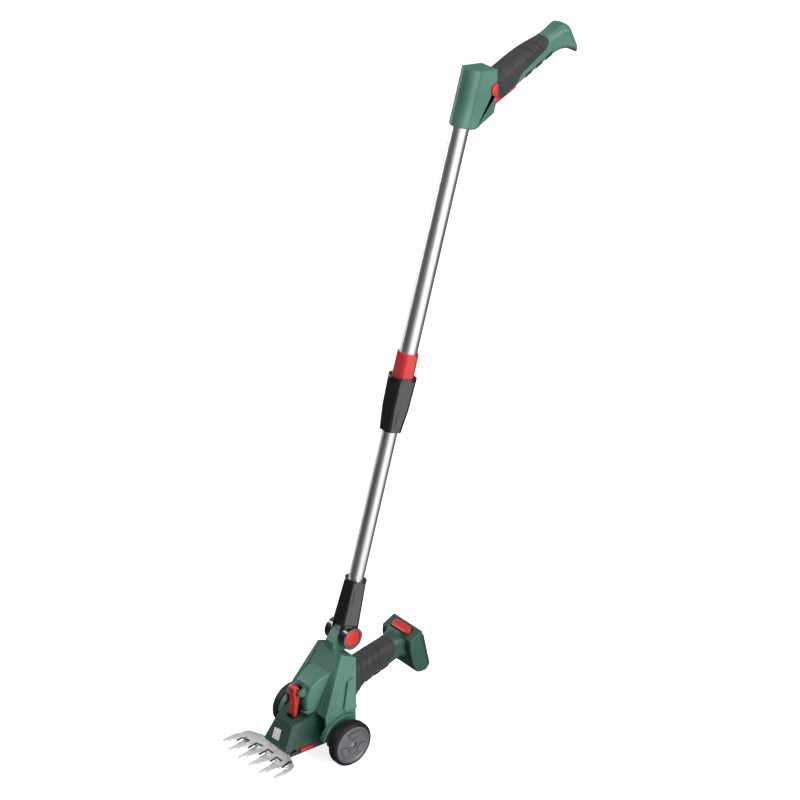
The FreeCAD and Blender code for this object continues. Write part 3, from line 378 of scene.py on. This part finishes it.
grip_rubber = soft_rubber("grip_rubber", (0.022, 0.022, 0.026), (0.09, 0.09, 0.095), 0.18, 900)
tyre_rubber = soft_rubber("tyre_rubber", (0.003, 0.003, 0.004), (0.02, 0.019, 0.018), 0.12, 600,
                          roughness=0.6, sheen=0.0)
print("rubber finishes are ready")

# %% [markdown]
# **Metals.** The tubes are satin anodised aluminium: very fine draw lines run along them, so the
# noise is squeezed across the pole and stretched along it. The blades are ground flat, with
# grinding lines that run across them, in a steel that is brighter than the tubes. Screws, pins
# and gears are turned, and have no lines of their own.

# %% Metal finishes
STREAK, TARNISH_SCALE, TARNISH_SHARE = 0.12, 40, 0.15
NO_TURN = (0, 0, 0)


def drawn_metal(name, colour, roughness, stretch, lines, turn=NO_TURN, tarnish=(0.3, 0.3, 0.3)):
    """Bare metal whose fine lines are noise, stretched after a turn; lines is how fine they are."""
    finish, shader = new_finish(name, roughness, metallic=1.0)
    where = add_node(finish, "ShaderNodeTexCoord")
    squeeze = add_node(finish, "ShaderNodeMapping", vector_type="TEXTURE")
    squeeze.inputs["Rotation"].default_value = turn
    squeeze.inputs["Scale"].default_value = stretch
    grain = add_node(finish, "ShaderNodeTexNoise")
    grain.inputs["Scale"].default_value = lines
    grain.inputs["Detail"].default_value = 2
    wire(finish, where.outputs["Object"], squeeze.inputs["Vector"])
    wire(finish, squeeze.outputs["Vector"], grain.inputs["Vector"])
    darker = tuple(c * (1 - STREAK) for c in colour)
    lighter = tuple(min(1, c * (1 + STREAK)) for c in colour)
    tone = ramp(finish, grain.outputs["Fac"], [(0.3, darker), (0.7, lighter)])
    spots = noise(finish, TARNISH_SCALE, 6)
    dull = grey_range(finish, spots.outputs["Fac"], 0.5, 0.8, 0.0, TARNISH_SHARE)
    tarnished = mixed(finish, dull.outputs["Result"], tone.outputs["Color"], tarnish)
    wire(finish, tarnished, shader.inputs["Base Color"])
    gloss = grey_range(finish, grain.outputs["Fac"], 0.3, 0.7,
                       roughness - 0.05, roughness + 0.07)
    wire(finish, gloss.outputs["Result"], shader.inputs["Roughness"])
    bumped(finish, shader, grain.outputs["Fac"], 0.15, 0.00005)
    return finish


tube_aluminium = drawn_metal("anodised_tube", (0.66, 0.66, 0.68), 0.32, (1, 1, 60), 900,
                             turn=(-LEAN, 0, 0))
blade_steel = drawn_metal("ground_blade_steel", (0.84, 0.845, 0.85), 0.42, (25, 1, 1), 700,
                          tarnish=(0.3, 0.29, 0.28))
bright_steel = drawn_metal("bright_steel", (0.6, 0.6, 0.6), 0.25, (1, 1, 1), 500)
gear_steel = drawn_metal("oiled_gear_steel", (0.38, 0.38, 0.39), 0.3, (1, 1, 1), 300)
contact_brass = drawn_metal("contact_brass", (0.75, 0.55, 0.25), 0.25, (1, 1, 8), 500,
                            tarnish=(0.35, 0.22, 0.1))
print("metal finishes are ready")

# %% [markdown]
# The floor is a matt pale sheet with the faintest mottling, so that it reads as paper and not as
# a void.

# %% Floor finish
FLOOR_GLOW = 0.75
paper, paper_shader = new_finish("pale_floor", 0.9, specular=0.1)
mottle = noise(paper, 3, 5)
pale = ramp(paper, mottle.outputs["Fac"], [(0.3, (0.93, 0.93, 0.93)), (0.7, (0.96, 0.96, 0.96))])
wire(paper, pale.outputs["Color"], paper_shader.inputs["Base Color"])
wire(paper, pale.outputs["Color"], paper_shader.inputs["Emission Color"])
paper_shader.inputs["Emission Strength"].default_value = FLOOR_GLOW
floor.data.materials.append(paper)
print("floor is covered")

# %% [markdown]
# ## Turning CAD solids into made pieces
# A CAD solid has knife edges. A moulded, stamped or turned piece never does: every edge has at
# least a small radius that catches a line of light. The helper below copies a node's mesh into a
# new object, joins its split corners, dissolves the triangulation of its flat faces, and rounds
# each edge by a real bevel. The copy stands in for the node, rides with the same body and keeps
# its material slot.

# %% A helper that rounds a node's edges
JOIN_DISTANCE = 2e-6      # metres between corners that are one corner
FLAT_WITHIN = 1.0         # degrees between triangles that are one face
CRISP_ABOVE = 38          # degrees between faces that keep a crisp edge
CRISP_WHEN_ROUNDED = 40   # the same, on a piece that only has its edges rounded
FINISH_OF_SLOT = {
    "green_plastic": green_plastic, "rubber_black": grip_rubber, "tyre_rubber": tyre_rubber,
    "gloss_black": black_gloss, "dark_plastic": black_satin, "red_plastic": red_plastic,
    "aluminium_tube": tube_aluminium, "blade_steel": blade_steel, "bright_steel": bright_steel,
    "gear_steel": gear_steel, "contact_brass": contact_brass, "board_laminate": board_green,
}
SLOT_OF_NODE = {part["node"]: part["material_slot"] for part in frame["record"]["subparts"]}
BODY_OF_NODE = {node: body for body, group in frame["record"]["behaviour"]["bodies"].items()
                for node in group}


def mesh_object(name, mesh):
    obj = bpy.data.objects.new(name, mesh)
    scene.collection.objects.link(obj)
    return obj


def smooth_by_angle(mesh, degrees):
    """Smooth shading that stays crisp where two faces meet at more than this angle."""
    work = bmesh.new()
    work.from_mesh(mesh)
    limit = math.radians(degrees)
    for face in work.faces:
        face.smooth = True
    for edge in work.edges:
        edge.smooth = len(edge.link_faces) == 2 and edge.calc_face_angle(math.pi) < limit
    work.to_mesh(mesh)
    work.free()


def settled(obj):
    """Applies the object's modifiers, so the mesh itself has the final shape."""
    graph = bpy.context.evaluated_depsgraph_get()
    made = bpy.data.meshes.new_from_object(obj.evaluated_get(graph))
    obj.modifiers.clear()
    obj.data = made
    return obj


def cleaned_copy(node):
    mesh = frame["nodes"][node].data.copy()
    work = bmesh.new()
    work.from_mesh(mesh)
    bmesh.ops.remove_doubles(work, verts=work.verts, dist=JOIN_DISTANCE)
    bmesh.ops.dissolve_limit(work, angle_limit=math.radians(FLAT_WITHIN), verts=work.verts,
                             edges=work.edges)
    work.to_mesh(mesh)
    work.free()
    mesh.materials.clear()
    return mesh


def rounded(obj, width, degrees=32):
    """A real radius, in millimetres, on every edge sharper than degrees."""
    bevel = obj.modifiers.new("edge_radius", "BEVEL")
    bevel.limit_method = "ANGLE"
    bevel.angle_limit = math.radians(degrees)
    bevel.width = width / 1000
    bevel.segments = 2
    bevel.use_clamp_overlap = True
    bevel.miter_outer = "MITER_ARC"
    settled(obj)
    smooth_by_angle(obj.data, CRISP_WHEN_ROUNDED)
    return obj


def dressed(obj, body, slot, finish, *nodes):
    """Gives a finished piece its material, its body and the nodes it stands for."""
    obj.data.materials.clear()
    obj.data.materials.append(finish)
    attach(obj, body)
    if nodes:
        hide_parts(*nodes)
    return obj


def copied(node):
    return mesh_object(f"{node}_made", cleaned_copy(node))


def softened(node, width):
    """A node with rounded edges and nothing else."""
    slot = SLOT_OF_NODE[node]
    obj = rounded(copied(node), width)
    return dressed(obj, BODY_OF_NODE[node], slot, FINISH_OF_SLOT[slot], node)


print("slots:", sorted(set(SLOT_OF_NODE.values())))

# %% [markdown]
# ## Working on a moulding
# The larger pieces need more than a radius: ribs, recesses, parting grooves and ridges. They are
# made as a tool maker would make them, by adding and cutting simple blocks before or after the
# edges are eased. A block is an outline given depth, and a groove is a round bar laid along a
# line and cut away.

# %% Helpers that add and cut
def solid_from(first_ring, second_ring):
    """A closed block between two rings with the same number of corners."""
    count = len(first_ring)
    faces = [tuple(range(count)), tuple(range(count, 2 * count))]
    faces += [(i, (i + 1) % count, (i + 1) % count + count, i + count) for i in range(count)]
    mesh = bpy.data.meshes.new("block")
    mesh.from_pydata([*first_ring, *second_ring], [], faces)
    work = bmesh.new()
    work.from_mesh(mesh)
    bmesh.ops.recalc_face_normals(work, faces=work.faces)
    work.to_mesh(mesh)
    work.free()
    return mesh_object("block", mesh)


def slab(outline, low, high, axis=0, where=ground):
    """An outline of two coordinates given depth from low to high along the third one."""
    def corner(spot, depth):
        spot = list(spot)
        spot.insert(axis, depth)
        return where(*spot)
    return solid_from([corner(p, low) for p in outline], [corner(p, high) for p in outline])


ROD_JOIN_DISTANCE = 1e-7


def rod(points, radius):
    """A round bar along a line of points, for grooves and beads."""
    line = bpy.data.curves.new("rod", "CURVE")
    line.dimensions = "3D"
    spline = line.splines.new("POLY")
    spline.points.add(len(points) - 1)
    for knot, point in zip(spline.points, points):
        knot.co = (*point, 1)
    line.bevel_depth = radius / 1000
    line.bevel_resolution = 2
    line.use_fill_caps = True
    drawn = mesh_object("rod_line", line)
    graph = bpy.context.evaluated_depsgraph_get()
    mesh = bpy.data.meshes.new_from_object(drawn.evaluated_get(graph))
    bpy.data.objects.remove(drawn)
    work = bmesh.new()
    work.from_mesh(mesh)
    bmesh.ops.remove_doubles(work, verts=work.verts, dist=ROD_JOIN_DISTANCE)
    bmesh.ops.recalc_face_normals(work, faces=work.faces)
    work.to_mesh(mesh)
    work.free()
    return mesh_object("rod", mesh)


def worked(obj, cutters=(), additions=()):
    """Joins the additions to a piece, then cuts the cutters away, and clears the helpers."""
    for operation, tools in (("UNION", additions), ("DIFFERENCE", cutters)):
        if not tools:
            continue
        for tool in tools:
            step = obj.modifiers.new("step", "BOOLEAN")
            step.operation = operation
            step.object = tool
            step.solver = "EXACT"
        settled(obj)
        for tool in tools:
            bpy.data.objects.remove(tool)
    return obj


def millimetres(point):
    """The reverse of ground()."""
    return point.x * 1000, point.y * 1000 + AXLE_FROM_MIDDLE, point.z * 1000


def eased(obj, rule, widest, segments=4, degrees=28):
    """Edge radii that change over the piece; rule(x, y, z) gives the radius at an edge's middle."""
    work = bmesh.new()
    work.from_mesh(obj.data)
    weight = work.edges.layers.float.new("bevel_weight_edge")
    for edge in work.edges:
        if len(edge.link_faces) == 2 and edge.calc_face_angle(0.0) > math.radians(degrees):
            middle = (edge.verts[0].co + edge.verts[1].co) / 2
            edge[weight] = rule(*millimetres(middle)) / widest
    work.to_mesh(obj.data)
    work.free()
    bevel = obj.modifiers.new("edge_radius", "BEVEL")
    bevel.limit_method = "WEIGHT"
    bevel.width = widest / 1000
    bevel.segments = segments
    bevel.use_clamp_overlap = False
    bevel.miter_outer = "MITER_ARC"
    settled(obj)
    return obj


def eased_evenly(obj, radius, segments=4, degrees=28):
    return eased(obj, lambda x, y, z: radius, radius, segments, degrees)


def placed(obj, node, finish=None):
    """Finishes a piece made from one node and lets it stand for that node."""
    smooth_by_angle(obj.data, CRISP_ABOVE)
    even = obj.modifiers.new("even_shading", "WEIGHTED_NORMAL")
    even.keep_sharp = True
    slot = SLOT_OF_NODE[node]
    dressed(obj, BODY_OF_NODE[node], slot, finish or FINISH_OF_SLOT[slot], node)
    print(node, "->", len(obj.data.polygons), "faces")
    return obj


FACET_REACH = 30


def facet_cutter(angle, *profile):
    """Removes what lies outside a line of flats on the pole.

    The profile gives (distance from the axis, height), going up.
    """
    turn = math.radians(angle)
    outward = Vector((math.sin(turn), -math.cos(turn)))
    aside = Vector((outward.y, -outward.x))
    low, high = profile[0], profile[-1]
    outside = [(low[0] + FACET_REACH, low[1]), (high[0] + FACET_REACH, high[1])]
    rings = []
    for shift in (-FACET_REACH, FACET_REACH):
        ring = []
        for distance, height in (low, *outside, *reversed(profile[1:])):
            spot = outward * distance + aside * shift
            ring.append(pole(spot.x, spot.y, height))
        rings.append(ring)
    return solid_from(*rings)


print("helpers for adding, cutting and easing are ready")

# %% [markdown]
# ## The cradle
# A wedge-shaped moulding that carries the wheels and holds the shear. Its front is a broad
# sloping face with a parting groove down each side; the swollen box in the middle houses the
# latch spring and has generous radii, because it is the part that hits walls and kerbs. The sides
# have a raised panel and an arch over each wheel. The swelling is first tapered with two slanting
# cuts, then its edges get a wide radius.

# %% Cradle centre with the latch housing
FACE_TOP = (16.0, 146.0)
FACE_LOW = (-26.5, 72.0)
face_run = Vector((FACE_LOW[0] - FACE_TOP[0], FACE_LOW[1] - FACE_TOP[1])).normalized()
face_out = Vector((face_run.y, -face_run.x))


def on_face(x, down, out):
    """A place on the cradle's sloping front: down the slope from its top edge, and out of it."""
    y = FACE_TOP[0] + face_run.x * down + face_out.x * out
    z = FACE_TOP[1] + face_run.y * down + face_out.y * out
    return ground(x, y, z)


def height_over_face(y, z):
    return (y - FACE_TOP[0]) * face_out.x + (z - FACE_TOP[1]) * face_out.y


HOUSING_FOOT, HOUSING_CREST, HOUSING_HEIGHT = 20.0, 15.0, 22.0     # half widths, and height
HOUSING_CORE = [(-37.3, 71), (-36.8, 93), (-28.9, 108.8), (-13, 118.3), (0, 119.2), (5, 119),
                (5, 70), (-25, 68)]
HOUSING_TAPER = [(HOUSING_FOOT + 0.02, 0.4), (HOUSING_CREST, HOUSING_HEIGHT),
                 (30, HOUSING_HEIGHT), (30, 0.4)]
TAPER_SPAN = (10, 100)
LATCH_NOTCH = [(-60, 60), (-60, 112), (-35.5, 112), (-32.0, 106), (-32.0, 60)]
NOTCH_HALF_WIDTH = 8.6
tapers = []
for side in (-1, 1):
    rings = [[on_face(side * x, down, out) for x, out in HOUSING_TAPER] for down in TAPER_SPAN]
    tapers.append(solid_from(*rings))
core = slab(HOUSING_CORE, -HOUSING_FOOT + 0.1, HOUSING_FOOT - 0.1)
latch_notch = slab(LATCH_NOTCH, -NOTCH_HALF_WIDTH, NOTCH_HALF_WIDTH)
frame_piece = worked(copied("cradle_frame"), cutters=[latch_notch, *tapers], additions=[core])

HOUSING_RADIUS, HOUSING_FOOT_RADIUS, FRAME_RADIUS = 4.2, 0.9, 0.8


def frame_radius(x, y, z):
    """Wide on the crest of the latch housing, small everywhere else."""
    over = height_over_face(y, z)
    if over > 5 and 68 < z < 121 and abs(x) > 12.5:
        return HOUSING_RADIUS
    if over > 8 and z > 105 and abs(x) > 9 and y < 0:
        return HOUSING_RADIUS
    if over > 2 and z < 121:
        return HOUSING_FOOT_RADIUS
    return FRAME_RADIUS


eased(frame_piece, frame_radius, HOUSING_RADIUS)
placed(frame_piece, "cradle_frame")

# %% Cradle sides with their grooves
TRENCH = [(4, 74), (18, 108), (14.0, 108), (-0.5, 74)]
TRENCH_DEPTH, SEAM_RADIUS = 1.8, 1.2


def side_wall(z):
    """Half the cradle's outer width at a height."""
    return 44 + (z - 72) * (25.5 - 44) / 74


face_length = math.dist(FACE_TOP, FACE_LOW)
for side, node in ((1, "cradle_side_right"), (-1, "cradle_side_left")):
    trench = solid_from(*[[ground(side * (side_wall(z) + out), y, z) for y, z in TRENCH]
                          for out in (-TRENCH_DEPTH, 6)])
    piece = worked(copied(node), cutters=[trench])
    eased_evenly(piece, 0.7, segments=3)
    seam = rod([on_face(side * (20.9 + 10.0 * t), face_length * t, 0.2) for t in (-0.02, 1.0)],
               SEAM_RADIUS)
    worked(piece, cutters=[seam])
    placed(piece, node)

# %% [markdown]
# The latch is a fat glossy lever that a gloved thumb can flick. All its edges are rolled over.

# %% Latch lever
latch = eased_evenly(copied("latch_lever"), 1.9, degrees=50)
placed(latch, "latch_lever")

# %% [markdown]
# ## The gear cover
# A deep green hood over the crank gear. Its front corners are planed off into long facets, and it
# carries shallow recesses at the sides and one in front, where a maker would put a badge. Here
# they stay blank, and the one in front holds a plain pale plate.

# %% Gear cover with facets and blank recesses
def slanted_cut(point, normal, reach=45):
    """A block that takes away everything beyond a plane."""
    normal = Vector(normal).normalized()
    aside = normal.cross(Vector((0, 0, 1))).normalized()
    upward = aside.cross(normal)
    start = Vector(point)
    square = [(-1, -1), (1, -1), (1, 1), (-1, 1)]
    near = [start + aside * a * reach + upward * b * reach for a, b in square]
    far = [corner + normal * reach for corner in near]
    return solid_from([ground(*p) for p in near], [ground(*p) for p in far])


FACET_POINT = (22.9, -79.3, 31.3)
FACET_NORMAL = (0.81, -0.42, 0.395)


def mirrored(side, triple):
    return side * triple[0], *triple[1:]


facets = [slanted_cut(mirrored(side, FACET_POINT), mirrored(side, FACET_NORMAL))
          for side in (-1, 1)]
cover = worked(copied("gear_head_cover"), cutters=facets)
print("cover after the facets:", len(cover.data.polygons))

HOOD_LOW = 30.9     # height of the cover's lower edge
HOOD_LEAN = (79.0 - 62.5) / (61.5 - HOOD_LOW)


def on_hood_front(x, z, out):
    """A place on the cover's leaning front, and out of it."""
    y = -79.0 + (z - HOOD_LOW) * HOOD_LEAN
    slope = math.hypot(1, HOOD_LEAN)
    return ground(x, y - out / slope, z + out * HOOD_LEAN / slope)


def from_outline(outline, where, low, high):
    """A block over an outline, between two heights out of a surface."""
    return solid_from(*[[where(a, b, out) for a, b in outline] for out in (low, high)])


BADGE = [(-10.5, 35.5), (4.5, 36.5), (1.5, 51.0), (-13.0, 49.0)]
BADGE_DEPTH, BADGE_PROUD = 0.7, 0.05
BADGE_MIDDLE, BADGE_SHRINK = (-4.4, 43), 0.93     # the plate is a little smaller than its recess
recess = from_outline(BADGE, on_hood_front, -BADGE_DEPTH, 4)


def on_hood_side(side, y, z, out):
    """A place on the cover's leaning side wall."""
    half = 30.0 + (y + 15.0) * 0.0585 - (z - HOOD_LOW) * 0.13
    return ground(side * (half + out), y, z)


SIDE_PANEL = [(-46, 38.5), (-17, 39.5), (-17, 52), (-44, 53)]
SIDE_PANEL_DEPTH = 0.6
panels = [from_outline(SIDE_PANEL, functools.partial(on_hood_side, side), -SIDE_PANEL_DEPTH, 5)
          for side in (-1, 1)]
worked(cover, cutters=[recess, *panels])
print("cover after the recesses:", len(cover.data.polygons))
rounded(cover, 0.7, degrees=20)
placed(cover, "gear_head_cover", deep_green)

plate_outline = [tuple(m + (c - m) * BADGE_SHRINK for c, m in zip(corner, BADGE_MIDDLE))
                 for corner in BADGE]
plate = from_outline(plate_outline, on_hood_front, -BADGE_DEPTH, BADGE_PROUD)
plate.name = "blank_badge_plate"
rounded(plate, 0.3)
dressed(plate, "head", "bright_steel", badge_white)
print("gear cover with blank recesses is made")

# %% [markdown]
# ## Knuckle, clamp nut and collar
# These polished black pieces are not round: flats run down them so a hand can turn or grip them,
# and each flat mirrors a different part of the room. The flats are cut from the turned shape, and
# fine slots are sunk into them.

# %% Flats and slots on the pole fittings
FLAT_ANGLES = (0, 76, -76)
FLAT_SHARE = 0.84     # distance of a flat from the axis, as a share of the radius


def flats(*profile):
    """Three flats; the profile gives (distance from the axis, height), going up."""
    return [facet_cutter(angle, *profile) for angle in FLAT_ANGLES]


def flat_slot(angle, aside, low, high, depth=0.7, width=1.4):
    """A bar sunk into a flat; low and high are (distance of the flat, height)."""
    turn = math.radians(angle)
    outward = Vector((math.sin(turn), -math.cos(turn)))
    across = Vector((-outward.y, outward.x))
    ends = []
    for distance, height in (low, high):
        spot = outward * (distance + width / 2 - depth) + across * aside
        ends.append(pole(spot.x, spot.y, height))
    return rod(ends, width / 2)


KNUCKLE_LOW, KNUCKLE_HIGH = (17.8, 16.0), (14.4, 80.5)     # (radius, height) of its ends


def knuckle_flat(height):
    """Distance of the knuckle's flats from the axis at a height, and that height."""
    (wide, low), (narrow, high) = KNUCKLE_LOW, KNUCKLE_HIGH
    return (wide + (narrow - wide) * (height - low) / (high - low)) * FLAT_SHARE, height


knuckle_piece = worked(copied("knuckle"), cutters=flats(knuckle_flat(17), knuckle_flat(77.5)))
rounded(knuckle_piece, 0.5, degrees=30)
slots = [flat_slot(angle, aside, knuckle_flat(low), knuckle_flat(68))
         for angle, aside, low in ((0, 7.0, 46), (76, -5.0, 44), (0, -7.0, 46), (-76, 5.0, 44))]
worked(knuckle_piece, cutters=slots)
placed(knuckle_piece, "knuckle")

nut = copied("clamp_nut")
worked(nut, cutters=flats((13.3, 292.5), (15.3, 325), (16.2, 366)))
rounded(nut, 0.5, degrees=24)
slots = [flat_slot(angle, aside, (13.8, 300), (15.3, 326), depth=0.5, width=1.8)
         for angle, aside in ((0, 4.5), (76, -3.0), (-76, 3.0), (0, -4.5))]
worked(nut, cutters=slots)
placed(nut, "clamp_nut")

collar = worked(copied("clamp_collar"), cutters=flats((12.96, 340), (12.96, 405)))
rounded(collar, 0.5, degrees=24)
placed(collar, "clamp_collar")

# %% [markdown]
# A thin grey ring frames each red tilt button.

# %% Rings round the tilt buttons
RING_PROFILE = [(12.55, 19.9), (14.9, 19.9), (14.9, 20.6), (14.4, 21.0), (13.0, 21.0),
                (12.55, 20.6)]     # (radius, distance from the middle)
RING_STEPS = 64
for side, word in ((1, "right"), (-1, "left")):
    mesh = bpy.data.meshes.new("ring")
    work = bmesh.new()
    loops = []
    for i in range(RING_STEPS):
        turn = 2 * math.pi * i / RING_STEPS
        loops.append([work.verts.new(pole(side * x, r * math.cos(turn), r * math.sin(turn)))
                      for r, x in RING_PROFILE])
    for i, loop in enumerate(loops):
        following = loops[(i + 1) % RING_STEPS]
        for k in range(len(RING_PROFILE)):
            beside = (k + 1) % len(RING_PROFILE)
            work.faces.new((loop[k], loop[beside], following[beside], following[k]))
    bmesh.ops.recalc_face_normals(work, faces=work.faces)
    work.to_mesh(mesh)
    work.free()
    ring = mesh_object(f"button_ring_{word}", mesh)
    smooth_by_angle(ring.data, 30)
    dressed(ring, "lower_pole", "gloss_black", ring_grey)
print("button rings are in place")

# %% [markdown]
# ## Wheels
# Each wheel is a grey disc with a soft tyre stretched over its rim. Three raised islands stiffen
# the disc round a small sunken hub, with a fine groove inside the rim. Each island stands in a
# shallow moat that outlines it. The tyre's shoulders are rolled over.

# %% Wheel discs and tyres
AXLE_HEIGHT = 32.0
MOAT_FLOOR, WHEEL_EDGE = 67.9, 69.6     # distances from the middle of the object
MOAT_SIZE, ISLAND_SIZE = (30, 8.6, 20.8), (26, 9.8, 19.4)     # spread, inner and outer radius
ISLANDS = (86, -33, 205)     # where each island stands round the hub, in degrees


def wheel_spot(side):
    def spot(x, along, up):
        return ground(side * x, along, AXLE_HEIGHT + up)
    return spot


def island(centre_angle, spread, inner, outer):
    """A ring sector with a pointed middle, as (along, up) points."""
    turns = [math.radians(centre_angle + spread * t) for t in (-1, -0.5, 0, 0.5, 1)]
    rim = [(outer * math.cos(t), outer * math.sin(t)) for t in turns]
    root = [(inner * k * math.cos(t), inner * k * math.sin(t))
            for t, k in ((turns[4], 1.25), (turns[2], 0.95), (turns[0], 1.25))]
    return rim + root


for side, word in ((1, "right"), (-1, "left")):
    spot = wheel_spot(side)
    node = f"wheel_disc_{word}"
    disc = copied(node)
    moats = [slab(island(angle, *MOAT_SIZE), MOAT_FLOOR, WHEEL_EDGE + 5, where=spot)
             for angle in ISLANDS]
    islands = [slab(island(angle, *ISLAND_SIZE), MOAT_FLOOR - 1, WHEEL_EDGE, where=spot)
               for angle in ISLANDS]
    worked(disc, cutters=moats)
    worked(disc, additions=islands)
    rounded(disc, 0.25, degrees=30)
    placed(disc, node, wheel_grey)

    node = f"wheel_tyre_{word}"
    placed(eased_evenly(copied(node), 0.8, segments=3, degrees=35), node)

# %% [markdown]
# ## Grips
# The soft overmould is ribbed with curved grooves so it doesn't slip. A groove follows the grip's
# rounded section over the top, slanting backwards as it comes down each side, and fades out above
# the seam.

# %% Grooves round a grip
def section_point(station, angle):
    """A point on a grip's rounded-rectangle section; angle 0 is the top, and rises to the right."""
    y, z, slope, half_width, half_height = station
    corner = 0.62 * min(half_width, half_height)
    turn = math.radians(angle)
    ray = Vector((math.sin(turn), math.cos(turn)))
    inner = Vector((half_width - corner, half_height - corner))
    low, high = 0.0, 60.0
    for _ in range(30):     # halves the span until it closes on the outline
        length = (low + high) / 2
        spot = ray * length
        outside = Vector((max(abs(spot.x) - inner.x, 0), max(abs(spot.y) - inner.y, 0)))
        if outside.length > corner:
            high = length
        else:
            low = length
    lean = math.radians(slope)
    spot = ray * low
    return spot.x, y - spot.y * math.sin(lean), z + spot.y * math.cos(lean)


def between(first, second, share):
    return [a + (b - a) * share for a, b in zip(first, second)]


def groove(first, second, share, slant, angles, radius, where):
    """A bar round the section between two stations, drifting to the second one on its way down."""
    path = []
    for angle in angles:
        drift = share + slant * (abs(angle) / 90) ** 1.5
        path.append(where(*section_point(between(first, second, drift), angle)))
    return rod(path, radius)


GROOVE_RADIUS = 0.8

# Each line has two stations of (y, z, slope in degrees, half width, half height).
TOOL_LINE = [(60.0, 91.0, 12.0, 15.6, 19.6), (90.0, 98.0, 12.0, 15.0, 18.4)]
tool_rubber = eased_evenly(copied("tool_grip_pad"), 0.5, segments=2, degrees=40)
cuts = [groove(*TOOL_LINE, share, -0.35, range(-82, 83, 8), GROOVE_RADIUS, ground)
        for share in (0.15, 0.5, 0.85, 1.2)]
worked(tool_rubber, cutters=cuts)
placed(tool_rubber, "tool_grip_pad")

HANDLE_LINE = [(79.4, 796.9, 37.0, 15.0, 17.2), (104.0, 814.0, 34.0, 13.7, 15.2)]
handle_rubber = copied("handle_grip_pad")
LIP = [(31.6, 772.5), (36.9, 753.8), (44, 751.5), (52, 757), (50, 776)]     # beside the lock button
lips = [slab(LIP, low, high, where=pole) for low, high in ((-15.2, -5.6), (5.6, 15.2))]
worked(handle_rubber, additions=lips)
eased_evenly(handle_rubber, 0.5, segments=2, degrees=40)
cuts = [groove(*HANDLE_LINE, share, 0.3, range(-66, 67, 6), GROOVE_RADIUS, pole)
        for share in (-0.15, 0.3, 0.75)]
worked(handle_rubber, cutters=cuts)
placed(handle_rubber, "handle_grip_pad")

# %% [markdown]
# ## Shells
# The handle and the shear are each closed by two moulded halves. The mould leaves a small, even
# radius on their outer edges. The halves of the shear get a darker copy of the handle's green,
# which paints the shade that falls on them.

# %% Shells of the handle and of the shear
for word in ("left", "right"):
    # The shear's halves take the darker copy of the green, which paints their shade.
    for part, finish in (("handle", green_plastic), ("tool", painted_shade_tool_green)):
        node = f"{part}_shell_{word}"
        placed(eased_evenly(copied(node), 0.8, segments=3, degrees=34), node, finish)

# %% [markdown]
# ## Blades
# Both combs are stamped from spring steel. At the root of each gap a thin black sheet on the upper
# comb paints the shadow that falls into the gap between the combs, as a dark hook between the
# bright teeth. Each hook swings with that comb.

# %% Painted shadows at the roots of the teeth
HOOKS = [((-40.6, -112), (-41.8, -102.3), (-30.2, -98.3)),
         ((-17.4, -110.8), (-19.4, -95.2), (-9, -92.6)),
         ((3.9, -108.8), (2.4, -91.8), (13.3, -92.4)),
         ((26.5, -107.1), (23.5, -93.9), (35.1, -94.7)),
         ((47.2, -103.6), (43.2, -86.8), (46.2, -85.2))]
HOOK_WIDTH = 3.6
BLADE_TOP = 29.8     # height of the upper comb's top face
HOOK_SUNK, HOOK_PROUD = 0.1, 0.12


def band(points, width):
    """A ribbon outline of the given width along a bent line of (x, y) points."""
    left, right = [], []
    for i, point in enumerate(points):
        before = Vector(points[max(i - 1, 0)])
        after = Vector(points[min(i + 1, len(points) - 1)])
        along = (after - before).normalized()
        aside = Vector((-along.y, along.x)) * width / 2
        left.append(Vector(point) + aside)
        right.append(Vector(point) - aside)
    return [tuple(p) for p in left + right[::-1]]


for number, hook in enumerate(HOOKS, start=1):
    # Each mark is a thin black sheet on the upper comb that paints the shadow in a gap.
    mark = slab(band(hook, HOOK_WIDTH), BLADE_TOP - HOOK_SUNK, BLADE_TOP + HOOK_PROUD, axis=2)
    mark.name = f"painted_root_shadow_{number}"
    dressed(mark, "moving_blade", "blade_steel", painted_gap_shadow)
print(len(HOOKS), "dark hooks at the tooth roots")

# %% [markdown]
# ## Small mechanical pieces
# These are turned, stamped or moulded in one go, so the CAD shape with real edge radii is all
# they need.

# %% Round the edges of the small pieces
EDGE_RADII = {     # millimetres
    "tilt_button_right": 0.5, "tilt_button_left": 0.5, "fixed_blade": 0.25, "moving_blade": 0.25,
    "gear_head_base": 0.7, "blade_release_right": 0.8, "blade_release_left": 0.8,
    "tool_underside_pads": 0.6, "tool_trigger": 0.9, "tool_lock_button": 0.5,
    "battery_rails": 0.4, "battery_release": 0.9, "handle_underside_pads": 0.6,
    "handle_trigger": 0.9, "handle_lock_button": 0.5, "tool_screws": 0.3, "handle_screws": 0.3,
}
for node, radius in EDGE_RADII.items():
    made = softened(node, radius)
    print(node, "->", len(made.data.polygons), "faces")

# %% [markdown]
# ## Everything else keeps its CAD shape
# Small inner pieces are right as drawn. They only need the finish of their material slot.

# %% Finishes for the remaining nodes
for node, obj in frame["nodes"].items():
    finish = FINISH_OF_SLOT[SLOT_OF_NODE[node]]
    obj.data.materials.clear()
    obj.data.materials.append(finish)
print("finished", len(frame["nodes"]), "nodes")
